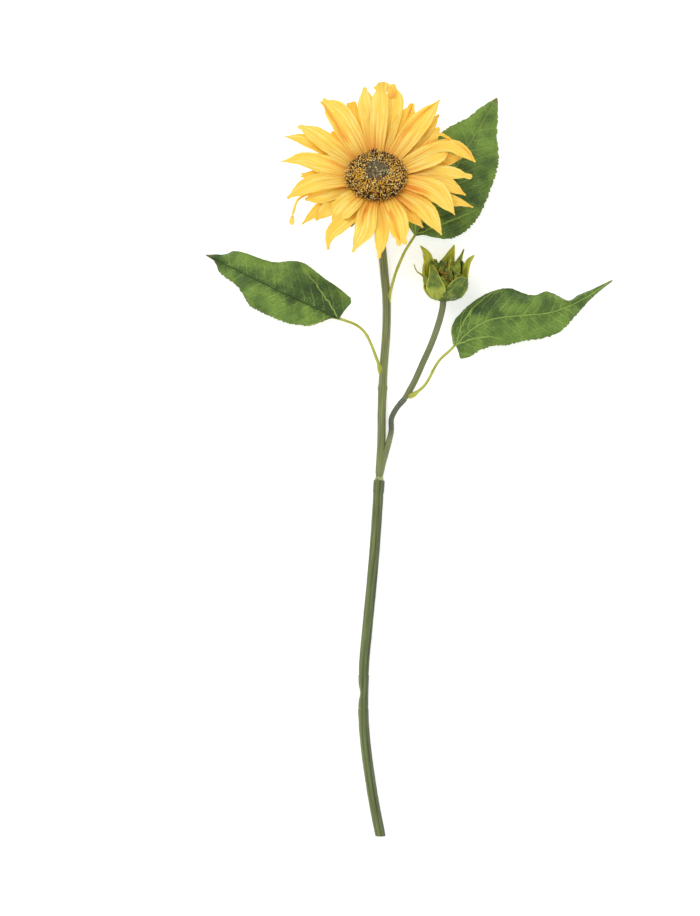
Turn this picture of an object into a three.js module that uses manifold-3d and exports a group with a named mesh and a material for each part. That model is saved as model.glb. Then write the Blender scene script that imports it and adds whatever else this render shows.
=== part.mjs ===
// An artificial sunflower spray: one cut stem with an open bloom, a bud and three leaves.
// Millimetres, +Z up. It lies on its back: +Y runs from the cut end to the bloom, which faces up.

import * as THREE from 'three';
import { mergeVertices } from 'three/addons/utils/BufferGeometryUtils.js';
import Module from 'manifold-3d';

const wasm = await Module();
wasm.setup();

// ---- driving dimensions ----
const GAP = 0.3; // between pieces that touch
const LOWER_STEM_RADIUS = 4.7;
const CUT_END = - 350; // where the lower stem is cut off, square to Y
const STEM_RIBS = 6;
const STEM_RIB = 0.22; // height of the ribs that run along the lower stem
const KNUCKLES = [ 0.37, 0.464 ]; // where its moulded knuckles are, as shares of its length from the foot
const KNUCKLE = 0.55; // how far a knuckle stands out
const KNUCKLE_REACH = 0.012;
const UPPER_STEM_RADIUS = 3.85;
const NODE_AT = 0.36; // the small node above the fork
const NODE = 0.5;
const NODE_REACH = 0.02;
const SOCKET_STARTS = 0.965;
const SOCKET_LIP = 0.5;
const SOCKET_DEPTH = 13;
const SOCKET_RADIUS = 3.4; // of the upper stem's peg
const PEG_ENDS = 0.06;
const BRANCH_RADIUS = 2.9;
const BRANCH_FOOT = 0.5;
const BRANCH_SLEEVE = 0.7;
const BUD_STEM_RADIUS = 2.9;
const PETIOLE_RADIUS = 1.3;
const PETIOLE_SLEEVE = 0.4;
const PETIOLE_TAPER = 0.2;
const LEAF_THICKNESS = 0.8;
const PETAL_THICKNESS = 0.8;
const SEPAL_THICKNESS = 0.8;
const BUD_SEPAL_THICKNESS = 1.2;

const HEAD = {
	at: [ - 30.2, 256.2, 38 ],
	tilt: 18, // degrees from level, towards +Y
	hubRadius: 24,
	hubThickness: 1,
	petalRoot: 22,
	cupDepth: 18,
	discRadius: 29.3,
	discBase: 7.1,
	discRim: 3.4, // height of its widest ring above its base
	discHeight: 16,
};

const BUD = {
	at: [ 31.3, 145.9, 21.5 ],
	towards: [ 0.12, 0.99, 0.02 ],
	cupHeight: 30,
	sepals: 7,
	sepalFoot: 22,
	sepalTop: 48,
	sepalVaries: 3, // how much taller or shorter than that one may be
	sepalHalfWidth: 9.4,
	sepalSink: 0.3, // how deep the sepals are set into the cup
	coreHeight: 11,
	coreRadius: 14,
};

const COLOURS = {
	lowerStem: '#66704a',
	upperStem: '#82895d',
	branch: '#72786d',
	budStem: '#7c8059',
	petiole: '#c6cc8e',
	leaf: '#62803c',
	petal: '#fcd559',
	petalBack: '#f6bc45',
	disc: '#6b4a2c',
	calyx: '#5f7433',
	bud: '#7e8c35',
	budCore: '#5c4a24',
};

// The bud's half-width at each height above its foot: a round cup, then sepals that flare a little.
const BUD_PROFILE = [
	[ 0, 6.2 ], [ 6, 15.6 ], [ 12, 19.6 ], [ 22, 20.6 ], [ 32, 20 ], [ 42, 20.6 ], [ 54, 23.5 ],
];

// ---- routes of the limbs: points on their centre lines, from foot to end ----
const LOWER_STEM = [
	[ - 25.6, - 356, 5.47 ], [ - 34.9, - 306, 5.47 ], [ - 41.9, - 248, 5.47 ], [ - 41.9, - 195, 5.47 ],
	[ - 39.1, - 161, 5.47 ], [ - 34.9, - 117, 5.47 ], [ - 31.2, - 72, 5.47 ], [ - 27.9, - 20, 5.47 ],
];
const UPPER_STEM = [
	[ - 28.7, - 32.5, 5.47 ], [ - 27.9, - 20, 5.47 ], [ - 25.8, 16.9, 5.2 ], [ - 25.4, 45, 4.8 ],
	[ - 23.8, 82, 4.4 ], [ - 21.2, 119, 4.1 ], [ - 21, 149, 3.9 ], [ - 22.9, 171, 3.9 ],
	[ - 24.9, 193, 3.9 ], [ - 26.9, 212, 3.9 ], [ - 28.3, 228, 4.2 ], [ - 29.3, 238, 6.2 ],
	[ - 29.9, 245, 9.8 ], [ - 30.2, 248.6, 14.6 ], [ - 30.2, 250.5, 20.4 ],
];
const BRANCH = [
	[ - 25.4, 0, 5 ], [ - 19.6, 14.5, 6 ], [ - 16.6, 26, 7 ], [ - 16.4, 37, 7.8 ],
	[ - 11.8, 46.6, 8.8 ], [ - 4.6, 55.2, 10 ],
];
const BUD_STEM = [
	[ - 4.4, 55.5, 10 ], [ 3.9, 69.7, 11 ], [ 12.2, 88, 13 ], [ 20.4, 106.5, 16 ], [ 26.6, 124, 19 ],
	[ 30.2, 138, 21.2 ], [ 31.2, 145.5, 21.5 ],
];
const PETIOLES = {
	left: [
		[ - 24, 71, 4.6 ], [ - 29.5, 83, 7.6 ], [ - 33, 96, 11 ], [ - 39.6, 111, 14.5 ], [ - 50, 122, 17 ],
		[ - 66.4, 129.5, 17.4 ], [ - 78, 135, 18.6 ],
	],
	right: [
		[ - 0.5, 54.2, 10.6 ], [ 5.6, 58.8, 12.6 ], [ 12, 66, 15.6 ], [ 19.4, 77, 18 ], [ 27, 88.6, 19.6 ],
		[ 38.4, 101, 20 ], [ 46, 110, 20.4 ],
	],
	top: [
		[ - 21, 141, 4 ], [ - 17.4, 155, 7.4 ], [ - 12.6, 172, 10.6 ], [ - 4.5, 191, 12.8 ], [ 4.8, 206, 13.6 ],
		[ 11, 216, 14 ],
	],
};

// A leaf's midrib runs from its foot to its tip. right and left give half-widths along it, as
// seen walking that way, and fold is how steeply the two halves rise from the midrib.
const LEAVES = {
	left: {
		midrib: [
			[ - 65, 129, 19.6 ], [ - 89.4, 140.3, 22.4 ], [ - 114, 151.4, 22 ], [ - 140, 164.7, 15 ],
			[ - 167, 178.3, 6 ], [ - 189, 189.8, 0.6 ],
		],
		right: [ [ 0, 17 ], [ 0.2, 26 ], [ 0.4, 31 ], [ 0.6, 20 ], [ 0.82, 12 ], [ 1, 0.8 ] ],
		left: [ [ 0, 5 ], [ 0.1, 15 ], [ 0.2, 20 ], [ 0.4, 25 ], [ 0.6, 20 ], [ 0.82, 8 ], [ 1, 0.8 ] ],
		fold: 0.22,
	},
	right: {
		midrib: [
			[ 42.4, 104, 22.4 ], [ 55.4, 117.6, 24.4 ], [ 74.4, 128, 25 ], [ 102, 132, 22.6 ], [ 130, 135, 16 ],
			[ 158.7, 146.6, 6.4 ], [ 189, 166, 0.6 ],
		],
		right: [ [ 0, 15 ], [ 0.12, 22 ], [ 0.25, 25 ], [ 0.42, 23 ], [ 0.6, 20 ], [ 0.79, 8 ], [ 1, 0.8 ] ],
		left: [ [ 0, 8 ], [ 0.12, 16 ], [ 0.28, 24 ], [ 0.44, 23 ], [ 0.61, 18 ], [ 0.79, 6 ], [ 1, 0.8 ] ],
		fold: 0.2,
	},
	top: {
		midrib: [
			[ 5.4, 207, 15.8 ], [ 17.7, 227.5, 17 ], [ 31.5, 249.7, 16.6 ], [ 45.4, 273, 13.4 ],
			[ 60.4, 299.4, 8 ], [ 82, 335.4, 0.8 ],
		],
		right: [ [ 0, 6 ], [ 0.17, 33 ], [ 0.35, 40 ], [ 0.53, 38 ], [ 0.73, 26 ], [ 0.87, 12 ], [ 1, 0.8 ] ],
		left: [ [ 0, 12 ], [ 0.17, 29 ], [ 0.35, 30 ], [ 0.53, 30 ], [ 0.73, 20 ], [ 0.87, 8 ], [ 1, 0.8 ] ],
		fold: 0.12,
	},
};

// Each petal is an angle in degrees about the head's axis, a length from that axis and a half-width.
const PETAL_LAYERS = {
	petals_back: {
		height: 2.1,
		slope: 0.16,
		thickness: PETAL_THICKNESS,
		petals: [
			[ 110, 78, 8 ], [ 80, 93, 9 ], [ 45, 82, 10 ], [ 12, 80, 8 ], [ - 15, 82, 10 ], [ - 22, 96, 7 ],
			[ - 60, 78, 9 ], [ - 97, 76, 9 ], [ - 140, 71, 9 ], [ - 157, 68, 9 ], [ 170, 76, 9 ], [ 135, 80, 9 ],
		],
	},
	petals_middle: {
		height: 3.9,
		slope: 0.2,
		thickness: PETAL_THICKNESS,
		petals: [
			[ 158, 91, 6 ], [ 147, 85, 11 ], [ 88, 89, 9 ], [ 66, 76, 8 ], [ 28, 73, 6 ], [ 18, 68, 8 ],
			[ - 4, 87, 7 ], [ - 48, 84, 11 ], [ - 76, 76, 8 ], [ - 89, 84, 7 ], [ - 119, 89, 11 ],
			[ - 142, 83, 9 ], [ - 179, 71, 9 ],
		],
	},
	petals_front: {
		height: 5.7,
		slope: 0.24,
		thickness: PETAL_THICKNESS,
		petals: [
			[ 175, 88, 12 ], [ 126, 87, 12.5 ], [ 98, 84, 8.5 ], [ 50, 89, 12.5 ], [ 5, 91, 9 ], [ - 32, 82, 9 ],
			[ - 52, 69, 6 ], [ - 70, 78, 8 ], [ - 104, 84, 12 ], [ - 133, 64, 9 ], [ - 160, 86, 9 ],
		],
	},
};
const HEAD_SEPALS = {
	height: 0.8,
	slope: 0.1,
	thickness: SEPAL_THICKNESS,
	first: 15, // degrees
	count: 11,
	length: 54,
	halfWidth: 8,
};

// ---- shapes ----

// A smooth curve through points, closely enough spaced for every limb here.
function curveThrough( points ) {

	const places = points.map( ( point ) => new THREE.Vector3( ...point ) );
	return new THREE.CatmullRomCurve3( places, false, 'centripetal' );

}

function endSign( step, steps ) {

	return Number( step === steps ) - Number( step === 0 );

}

// A limb of round section along a route: a capped cylinder bent onto it. radiusAt( t, angle )
// gives its radius, t running from 0 at the foot to 1 at the end. grow makes it that much fatter
// and longer at both ends, as a cutter that leaves a clearance.
function limb( route, radiusAt, sides, steps, grow = 0 ) {

	const curve = curveThrough( route );
	const frames = curve.computeFrenetFrames( steps, false );
	const geometry = new THREE.CylinderGeometry( 1, 1, 1, sides, steps );
	const position = geometry.getAttribute( 'position' );

	for ( let k = 0; k < position.count; k ++ ) {

		const x = position.getX( k );
		const z = position.getZ( k );
		const step = Math.round( ( position.getY( k ) + 0.5 ) * steps );
		const radius = radiusAt( step / steps, Math.atan2( z, x ) ) + grow;
		const point = curve.getPointAt( step / steps );
		point.addScaledVector( frames.normals[ step ], x * radius );
		point.addScaledVector( frames.binormals[ step ], - z * radius );
		point.addScaledVector( frames.tangents[ step ], endSign( step, steps ) * grow );
		position.setXYZ( k, point.x, point.y, point.z );

	}

	return geometry;

}

// A thin blade over surface( u, v ): u runs from its foot to its tip and v from -1 to 1 across.
function blade( surface, thickness, across, along ) {

	const geometry = new THREE.BoxGeometry( 2, 1, thickness, across, along, 1 ).translate( 0, 0.5, 0 );
	const position = geometry.getAttribute( 'position' );
	const near = 0.004;

	for ( let k = 0; k < position.count; k ++ ) {

		const v = position.getX( k );
		const u = position.getY( k );
		const lengthwise = surface( Math.min( u + near, 1 ), v ).sub( surface( Math.max( u - near, 0 ), v ) );
		const crosswise = surface( u, Math.min( v + near, 1 ) ).sub( surface( u, Math.max( v - near, - 1 ) ) );
		const normal = crosswise.cross( lengthwise ).normalize();
		const point = surface( u, v ).addScaledVector( normal, position.getZ( k ) );
		position.setXYZ( k, point.x, point.y, point.z );

	}

	return geometry;

}

// Reads a list of [ place, value ] pairs at a place between them.
function between( pairs, place ) {

	const next = Math.max( 1, pairs.findIndex( ( pair ) => pair[ 0 ] >= place ) );
	const [ [ from, low ], [ to, high ] ] = [ pairs[ next - 1 ], pairs[ next ] ];
	return THREE.MathUtils.lerp( low, high, THREE.MathUtils.smoothstep( place, from, to ) );

}

// ---- joining and cutting ----

function solidOf( geometry ) {

	const bare = geometry.clone();
	bare.deleteAttribute( 'normal' );
	bare.deleteAttribute( 'uv' );
	const merged = mergeVertices( bare, 0.0005 );
	return new wasm.Manifold( new wasm.Mesh( {
		numProp: 3,
		vertProperties: new Float32Array( merged.getAttribute( 'position' ).array ),
		triVerts: new Uint32Array( merged.getIndex().array ),
	} ) );

}

function geometryOf( solid ) {

	const mesh = solid.getMesh();
	const places = new Float32Array( mesh.vertProperties );
	const triangles = new Uint32Array( mesh.triVerts );
	const geometry = new THREE.BufferGeometry();
	geometry.setAttribute( 'position', new THREE.BufferAttribute( places, 3 ) );
	geometry.setIndex( new THREE.BufferAttribute( triangles, 1 ) );
	geometry.computeVertexNormals();
	return geometry;

}

function joined( geometries ) {

	return geometryOf( geometries.map( solidOf ).reduce( ( whole, solid ) => whole.add( solid ) ) );

}

function cutBy( geometry, ...cutters ) {

	const cuts = cutters.map( solidOf );
	return geometryOf( cuts.reduce( ( left, cut ) => left.subtract( cut ), solidOf( geometry ) ) );

}

// ---- the stem and its branch ----

// A rounded bump of the given height around one place on a limb.
function bump( t, at, height, reach ) {

	return height * Math.exp( - ( ( ( t - at ) / reach ) ** 2 ) );

}

function lowerStemRadius( t, angle ) {

	const rib = STEM_RIB * Math.cos( STEM_RIBS * angle );
	const knuckles = KNUCKLES.reduce( ( sum, at ) => sum + bump( t, at, KNUCKLE, KNUCKLE_REACH ), 0 );
	const lip = t > SOCKET_STARTS ? SOCKET_LIP : 0;
	return LOWER_STEM_RADIUS + rib + knuckles + lip;

}

function upperStemRadius( t ) {

	const node = bump( t, NODE_AT, NODE, NODE_REACH );
	return t < PEG_ENDS ? SOCKET_RADIUS : UPPER_STEM_RADIUS + node;

}

// The branch is a little fat where it leaves the stem, and ends in a sleeve.
function branchRadius( t ) {

	const foot = BRANCH_FOOT * ( 1 - THREE.MathUtils.smoothstep( t, 0, 0.25 ) );
	const sleeve = BRANCH_SLEEVE * THREE.MathUtils.smoothstep( t, 0.8, 0.92 );
	return BRANCH_RADIUS + foot + sleeve;

}


// A petiole has a short sleeve at its foot and thins a little towards its leaf.
function petioleRadius( t ) {

	return t < 0.12 ? PETIOLE_RADIUS + PETIOLE_SLEEVE : PETIOLE_RADIUS - PETIOLE_TAPER * t;

}

function lowerStem() {

	const stem = limb( LOWER_STEM, lowerStemRadius, 12, 32 );
	const mouth = new THREE.Vector3( ...LOWER_STEM.at( - 1 ) );
	const inward = new THREE.Vector3( ...UPPER_STEM[ 0 ] ).sub( mouth ).normalize();
	const depths = [ - 5, 0, SOCKET_DEPTH ];
	const route = depths.map( ( depth ) => mouth.clone().addScaledVector( inward, depth ).toArray() );
	const bore = limb( route, () => SOCKET_RADIUS + GAP, 12, 2 );
	const waste = new THREE.BoxGeometry( 60, 30, 60 ).translate( LOWER_STEM[ 0 ][ 0 ], CUT_END - 15, 0 );
	return cutBy( stem, bore, waste );

}

const upperStem = ( grow = 0 ) => limb( UPPER_STEM, upperStemRadius, 8, 40, grow );
const budStem = ( grow = 0 ) => limb( BUD_STEM, () => BUD_STEM_RADIUS, 8, 16, grow );
const branch = ( grow = 0 ) => limb( BRANCH, branchRadius, 8, 18, grow );
const petiole = ( side ) => limb( PETIOLES[ side ], petioleRadius, 6, 14 );

// ---- leaves ----

function leafSurface( { midrib, right, left, fold } ) {

	const curve = curveThrough( midrib );
	const up = new THREE.Vector3( 0, 0, 1 );
	return ( u, v ) => {

		const side = curve.getTangentAt( u ).cross( up ).normalize();
		const reach = between( v > 0 ? right : left, u ) * v;
		const point = curve.getPointAt( u ).addScaledVector( side, reach );
		return point.addScaledVector( up, fold * Math.abs( reach ) );

	};

}

function leaf( side, thickness = LEAF_THICKNESS ) {

	return blade( leafSurface( LEAVES[ side ] ), thickness, 4, 18 );

}

// ---- the bloom, in the head's own frame: its axis is +Z and its cup's flat top is at 0 ----

// The share of its half-width that a pointed blade has at u: full near its middle, narrower at
// its foot and least at its tip.
function pointed( u ) {

	return Math.sin( Math.PI * ( 0.22 + 0.75 * u ) ) ** 0.7;

}

// A pointed blade that leaves the hub at an angle and climbs with its layer's slope.
function ray( [ angle, length, halfWidth ], { height, slope, thickness } ) {

	const axis = new THREE.Vector3( 0, 0, 1 );
	const turn = THREE.MathUtils.degToRad( angle );
	const surface = ( u, v ) => {

		const out = THREE.MathUtils.lerp( HEAD.petalRoot, length, u );
		const reach = v * halfWidth * pointed( u );
		const rise = height + slope * Math.max( 0, out - HEAD.hubRadius );
		return new THREE.Vector3( out, - reach, rise ).applyAxisAngle( axis, turn );

	};

	return blade( surface, thickness, 2, 4 );

}

// One die-cut layer: a round hub and its rays in one piece.
function layer( rays, sheet ) {

	const hub = new THREE.CylinderGeometry( HEAD.hubRadius, HEAD.hubRadius, HEAD.hubThickness, 24 );
	hub.rotateX( Math.PI / 2 ).translate( 0, 0, sheet.height );
	return joined( [ hub, ...rays.map( ( shape ) => ray( shape, sheet ) ) ] );

}

function headSepals() {

	const { first, count, length, halfWidth } = HEAD_SEPALS;
	const rays = Array.from( { length: count }, ( _, k ) => [ first + 360 * k / count, length, halfWidth ] );
	return layer( rays, HEAD_SEPALS );

}

// A turned solid from [ radius, height ] pairs, standing along +Z.
function turned( profile, sides ) {

	const outline = profile.map( ( pair ) => new THREE.Vector2( ...pair ) );
	return new THREE.LatheGeometry( outline, sides ).rotateX( Math.PI / 2 );

}

function headCup() {

	const foot = - HEAD.cupDepth;
	const flare = [ [ 5, 0 ], [ 6.4, 3 ], [ 10.5, 8 ], [ 18, 13 ], [ HEAD.hubRadius, 16.6 ] ];
	const side = flare.map( ( [ radius, height ] ) => [ radius, foot + height ] );
	return turned( [ [ 0, foot ], ...side, [ HEAD.hubRadius, 0 ], [ 0, 0 ] ], 20 );

}

function headDisc() {

	const { discBase, discRim, discHeight, discRadius } = HEAD;
	const dome = [ 0, 20, 40, 60, 75 ].map( ( degrees ) => {

		const turn = THREE.MathUtils.degToRad( degrees );
		const height = discBase + THREE.MathUtils.lerp( discRim, discHeight, Math.sin( turn ) );
		return [ discRadius * Math.cos( turn ) ** 0.7, height ];

	} );
	return turned( [ [ 0, discBase ], [ 22, discBase ], ...dome, [ 0, discBase + discHeight ] ], 24 );

}

// ---- the bud, in its own frame: its foot is at 0 and its axis is +Z ----

// One sepal of the bud: a pointed blade set into the cup's wall, free above its rim.
function budSepal( turn ) {

	const { sepalFoot, sepalTop, sepalVaries, sepalHalfWidth, sepalSink } = BUD;
	const top = sepalTop + sepalVaries * Math.cos( 5 * turn );
	const surface = ( u, v ) => {

		const height = THREE.MathUtils.lerp( sepalFoot, top, u );
		const radius = between( BUD_PROFILE, height ) - sepalSink;
		const angle = turn - v * sepalHalfWidth * pointed( u ) / radius;
		return new THREE.Vector3( radius * Math.cos( angle ), radius * Math.sin( angle ), height );

	};

	return blade( surface, BUD_SEPAL_THICKNESS, 2, 4 );

}

function budCup() {

	const { cupHeight, sepals } = BUD;
	const heights = [ 0, 3, 6, 12, 22, cupHeight ];
	const wall = heights.map( ( height ) => [ between( BUD_PROFILE, height ), height ] );
	const body = turned( [ [ 0, 0 ], ...wall, [ 0, cupHeight ] ], 14 );
	const turns = Array.from( { length: sepals }, ( _, k ) => 2 * Math.PI * ( k + 0.25 ) / sepals );
	return joined( [ body, ...turns.map( budSepal ) ] );

}

function budCore() {

	const { cupHeight, coreHeight, coreRadius } = BUD;
	const foot = cupHeight + GAP;
	const side = [ [ coreRadius, foot ], [ coreRadius, foot + 4 ], [ coreRadius * 0.7, foot + 9 ] ];
	return turned( [ [ 0, foot ], ...side, [ 0, foot + coreHeight ] ], 16 );

}

// ---- the whole spray ----

const spray = new THREE.Group();

function add( name, geometry, color, roughness, parent = spray ) {

	const material = new THREE.MeshStandardMaterial( { color, roughness, metalness: 0 } );
	const mesh = new THREE.Mesh( geometry, material );
	mesh.name = name;
	parent.add( mesh );

}

add( 'lower_stem', lowerStem(), COLOURS.lowerStem, 0.6 );
add( 'upper_stem', upperStem(), COLOURS.upperStem, 0.6 );
add( 'bud_branch', cutBy( branch(), upperStem( GAP ) ), COLOURS.branch, 0.45 );
add( 'bud_stem', cutBy( budStem(), branch( GAP ) ), COLOURS.budStem, 0.6 );

for ( const side of [ 'left', 'right', 'top' ] ) {

	const carriers = side === 'right' ? [ branch( GAP ), budStem( GAP ) ] : [ upperStem( GAP ) ];
	const cutters = [ ...carriers, leaf( side, LEAF_THICKNESS + 2 * GAP ) ];
	add( `petiole_${ side }`, cutBy( petiole( side ), ...cutters ), COLOURS.petiole, 0.55 );
	add( `leaf_${ side }`, leaf( side ), COLOURS.leaf, 0.7 );

}

const head = new THREE.Group();
head.position.set( ...HEAD.at );
head.rotation.x = - THREE.MathUtils.degToRad( HEAD.tilt );
spray.add( head );
add( 'head_cup', headCup(), COLOURS.calyx, 0.7, head );
add( 'head_sepals', headSepals(), COLOURS.calyx, 0.75, head );

for ( const [ name, sheet ] of Object.entries( PETAL_LAYERS ) ) {

	const color = name === 'petals_back' ? COLOURS.petalBack : COLOURS.petal;
	add( name, layer( sheet.petals, sheet ), color, 0.75, head );

}

add( 'head_disc', headDisc(), COLOURS.disc, 0.9, head );

const bud = new THREE.Group();
bud.position.set( ...BUD.at );
const budAxis = new THREE.Vector3( ...BUD.towards ).normalize();
bud.quaternion.setFromUnitVectors( new THREE.Vector3( 0, 0, 1 ), budAxis );
spray.add( bud );
add( 'bud_cup', budCup(), COLOURS.bud, 0.7, bud );
add( 'bud_core', budCore(), COLOURS.budCore, 0.9, bud );

export default spray;
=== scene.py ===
import math
import random
from bisect import bisect
from typing import NamedTuple

import bmesh
import bpy
from bpy.props import FloatProperty, FloatVectorProperty, IntProperty, PointerProperty
from mathutils import Matrix, Vector, noise
from mathutils.geometry import interpolate_bezier


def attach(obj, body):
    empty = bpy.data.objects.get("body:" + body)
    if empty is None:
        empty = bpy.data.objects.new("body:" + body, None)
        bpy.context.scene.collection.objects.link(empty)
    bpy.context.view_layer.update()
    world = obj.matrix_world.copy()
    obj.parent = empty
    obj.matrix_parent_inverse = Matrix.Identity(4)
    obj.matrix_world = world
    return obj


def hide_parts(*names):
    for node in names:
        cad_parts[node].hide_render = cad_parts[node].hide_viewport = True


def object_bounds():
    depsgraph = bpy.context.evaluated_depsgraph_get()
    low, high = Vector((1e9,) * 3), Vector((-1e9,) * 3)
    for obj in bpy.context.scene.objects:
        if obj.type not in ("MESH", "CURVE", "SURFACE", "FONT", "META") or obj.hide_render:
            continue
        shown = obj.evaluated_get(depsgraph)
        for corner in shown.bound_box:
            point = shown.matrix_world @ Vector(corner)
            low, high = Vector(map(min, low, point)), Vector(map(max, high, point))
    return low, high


bl_info = {
    "name": "Artificial sunflower spray",
    "version": (1, 0, 0),
    "blender": (4, 5, 0),
    "location": "3D View > Sidebar > Sunflower",
    "description": "Fabric petals, leaves and bud on the moulded stems of an artificial sunflower",
    "category": "Add Mesh",
}

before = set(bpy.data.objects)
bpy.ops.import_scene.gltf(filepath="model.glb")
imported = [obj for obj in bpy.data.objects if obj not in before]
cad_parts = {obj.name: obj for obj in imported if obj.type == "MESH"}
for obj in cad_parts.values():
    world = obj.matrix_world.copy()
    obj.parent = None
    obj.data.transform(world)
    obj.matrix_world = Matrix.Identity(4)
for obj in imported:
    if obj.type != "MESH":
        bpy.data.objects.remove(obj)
CAD_BOX = [list(corner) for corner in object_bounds()]

MM = 0.001
UP = Vector((0, 0, 1))
TURN = 2 * math.pi
BODY = "root"


# ---- small sums ----

def linear(code):
    """The linear RGBA of an sRGB hex colour."""
    shares = [int(code[k:k + 2], 16) / 255 for k in (0, 2, 4)]
    return [s / 12.92 if s < 0.04045 else ((s + 0.055) / 1.055) ** 2.4 for s in shares] + [1.0]


def mix(low, high, share):
    return low + (high - low) * share


def smooth(low, high, value):
    """0 below low, 1 above high and an even curve between them."""
    share = min(max((value - low) / (high - low), 0.0), 1.0)
    return share * share * (3 - 2 * share)


def bump(value, at, reach):
    """A rounded bump of height 1 round one value."""
    return math.exp(-(((value - at) / reach) ** 2))


def wobble(x, y, z):
    """Smooth unevenness, from about -1 to 1, that changes within a distance of about 1."""
    return noise.noise(Vector((x, y, z)))


def profile(pairs):
    """A smooth function through (place, value) pairs whose places rise."""
    places = [place for place, _ in pairs]
    values = [value for _, value in pairs]
    last = len(pairs) - 1
    slopes = []
    for k in range(len(pairs)):
        before, after = max(k - 1, 0), min(k + 1, last)
        slopes.append((values[after] - values[before]) / (places[after] - places[before]))

    def at(place):
        k = min(max(bisect(places, place), 1), last)
        span = places[k] - places[k - 1]
        s = min(max((place - places[k - 1]) / span, 0.0), 1.0)
        rise = s * s * (3 - 2 * s)
        leave = s * (1 - s) ** 2 * slopes[k - 1] * span
        arrive = -s * s * (1 - s) * slopes[k] * span
        return mix(values[k - 1], values[k], rise) + leave + arrive

    return at


class Route:
    """A smooth line through a few points in millimetres, read by the share t of its length."""

    STEPS = 24  # between two of its points

    def __init__(self, points):
        knots = [Vector(point) * MM for point in points]
        ends = [2 * knots[0] - knots[1], *knots, 2 * knots[-1] - knots[-2]]
        self.places = [knots[0]]
        for before, start, stop, after in zip(ends, ends[1:], ends[2:], ends[3:]):
            reach = (stop - start).length / 3
            leave = start + (stop - before).normalized() * reach
            arrive = stop - (after - start).normalized() * reach
            self.places += interpolate_bezier(start, leave, arrive, stop, self.STEPS)[1:]
        self.lengths = [0.0]
        for start, stop in zip(self.places, self.places[1:]):
            self.lengths.append(self.lengths[-1] + (stop - start).length)
        self.length = self.lengths[-1]

    def at(self, t):
        along = t * self.length
        k = min(max(bisect(self.lengths, along), 1), len(self.lengths) - 1)
        start, stop = self.lengths[k - 1], self.lengths[k]
        return self.places[k - 1].lerp(self.places[k], (along - start) / (stop - start))

    def frame(self, t):
        """The point at t, the way the line runs there, and what is to its right and above it."""
        along = (self.at(t + 0.01) - self.at(t - 0.01)).normalized()
        right = along.cross(UP).normalized()
        return self.at(t), along, right, right.cross(along)


# ---- making meshes ----

PATTERN = "pattern"  # what a material reads along and across each part of a piece
WEAVE = "weave"  # distances along and across it in millimetres, with a number of its own


def straight(place, foot, top, bow=0.0):
    """A route between two points, in millimetres in the frame of place, bowed up by bow."""
    start, stop = [place @ (Vector(point) * MM) / MM for point in (foot, top)]
    return Route([start, start.lerp(stop, 0.5) + UP * bow, stop])


def start_mesh():
    bm = bmesh.new()
    bm.verts.layers.float_vector.new(PATTERN)
    bm.verts.layers.float_vector.new(WEAVE)
    return bm


def sheet(bm, columns, rows, place):
    """Adds a grid whose point u (0 to 1 along) and v (-1 to 1 across) is what place(u, v) gives:
    its position, its pattern and its weave."""
    pattern = bm.verts.layers.float_vector[PATTERN]
    weave = bm.verts.layers.float_vector[WEAVE]
    verts = bmesh.ops.create_grid(bm, x_segments=columns, y_segments=rows, size=1)["verts"]
    for vert in verts:
        vert.co, vert[pattern], vert[weave] = place((vert.co.y + 1) / 2, vert.co.x)
    return verts


def tube(bm, route, radius_at, sides, rings, start=0.0, stop=1.0, flat=1.0, key=0.0, mark=None):
    """Adds a capped limb, a grid wrapped round a route, and returns its first and last caps.
    radius_at(t, angle) is in metres and flat is its depth as a share of its width."""

    def place(u, v):
        t = mix(start, stop, u)
        angle = v * math.pi - math.pi / 2
        point, _, right, above = route.frame(t)
        radius = radius_at(t, angle)
        ring = Vector((math.cos(angle), math.sin(angle), 0))
        co = point + right * (ring.x * radius) + above * (ring.y * radius * flat)
        marked = mark(t, angle) if mark else 0.0
        return co, (marked, t, angle), (ring.x, ring.y, t * route.length / MM + key)

    verts = sheet(bm, sides, rings, place)
    bmesh.ops.remove_doubles(bm, verts=verts, dist=0.01 * MM)
    ends = {edge for vert in verts if vert.is_valid for edge in vert.link_edges if edge.is_boundary}
    caps = bmesh.ops.holes_fill(bm, edges=list(ends), sides=0)["faces"]
    return sorted(caps, key=lambda cap: (cap.calc_center_median() - route.at(start)).length)


def only(kind, elements):
    """The vertices, the edges or the faces out of a bmesh operator's mixed list."""
    return [element for element in elements if isinstance(element, kind)]


def thicken(bm, thickness):
    """Gives open sheets a thickness, growing them along their own normals."""
    bm.normal_update()
    grow = bm.verts.layers.float_vector.new("grow")
    for vert in bm.verts:
        vert[grow] = vert.normal * thickness
    copied = bmesh.ops.extrude_face_region(bm, geom=bm.faces[:], use_keep_orig=True)
    for vert in only(bmesh.types.BMVert, copied["geom"]):
        vert.co += vert[grow]
    bm.verts.layers.float_vector.remove(grow)


def finish(bm, name, material, replaces=(), sharp=45):
    """Makes the piece: its mesh, material, body, slot and the CAD nodes that it stands for. Edges
    bent by more than sharp degrees stay sharp."""
    bmesh.ops.recalc_face_normals(bm, faces=bm.faces)
    mesh = bpy.data.meshes.new(name)
    bm.to_mesh(mesh)
    bm.free()
    mesh.materials.append(material)
    mesh.shade_smooth()
    mesh.set_sharp_from_angle(angle=math.radians(sharp))
    piece = bpy.data.objects.new(name, mesh)
    bpy.context.scene.collection.objects.link(piece)
    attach(piece, BODY)
    if replaces:
        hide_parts(*replaces)
    return piece


# ---- materials ----

MAIN_OUTPUTS = {  # of a node that is linked as a whole; any other node gives its first
    "ShaderNodeAttribute": "Vector",
    "ShaderNodeTexCoord": "Object",
    "ShaderNodeTexWave": "Fac",
    "ShaderNodeMix": 2,
}


def shaded(colour, share):
    """A colour darkened to this share of its light."""
    return [share * channel for channel in colour[:3]] + [1.0]


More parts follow.
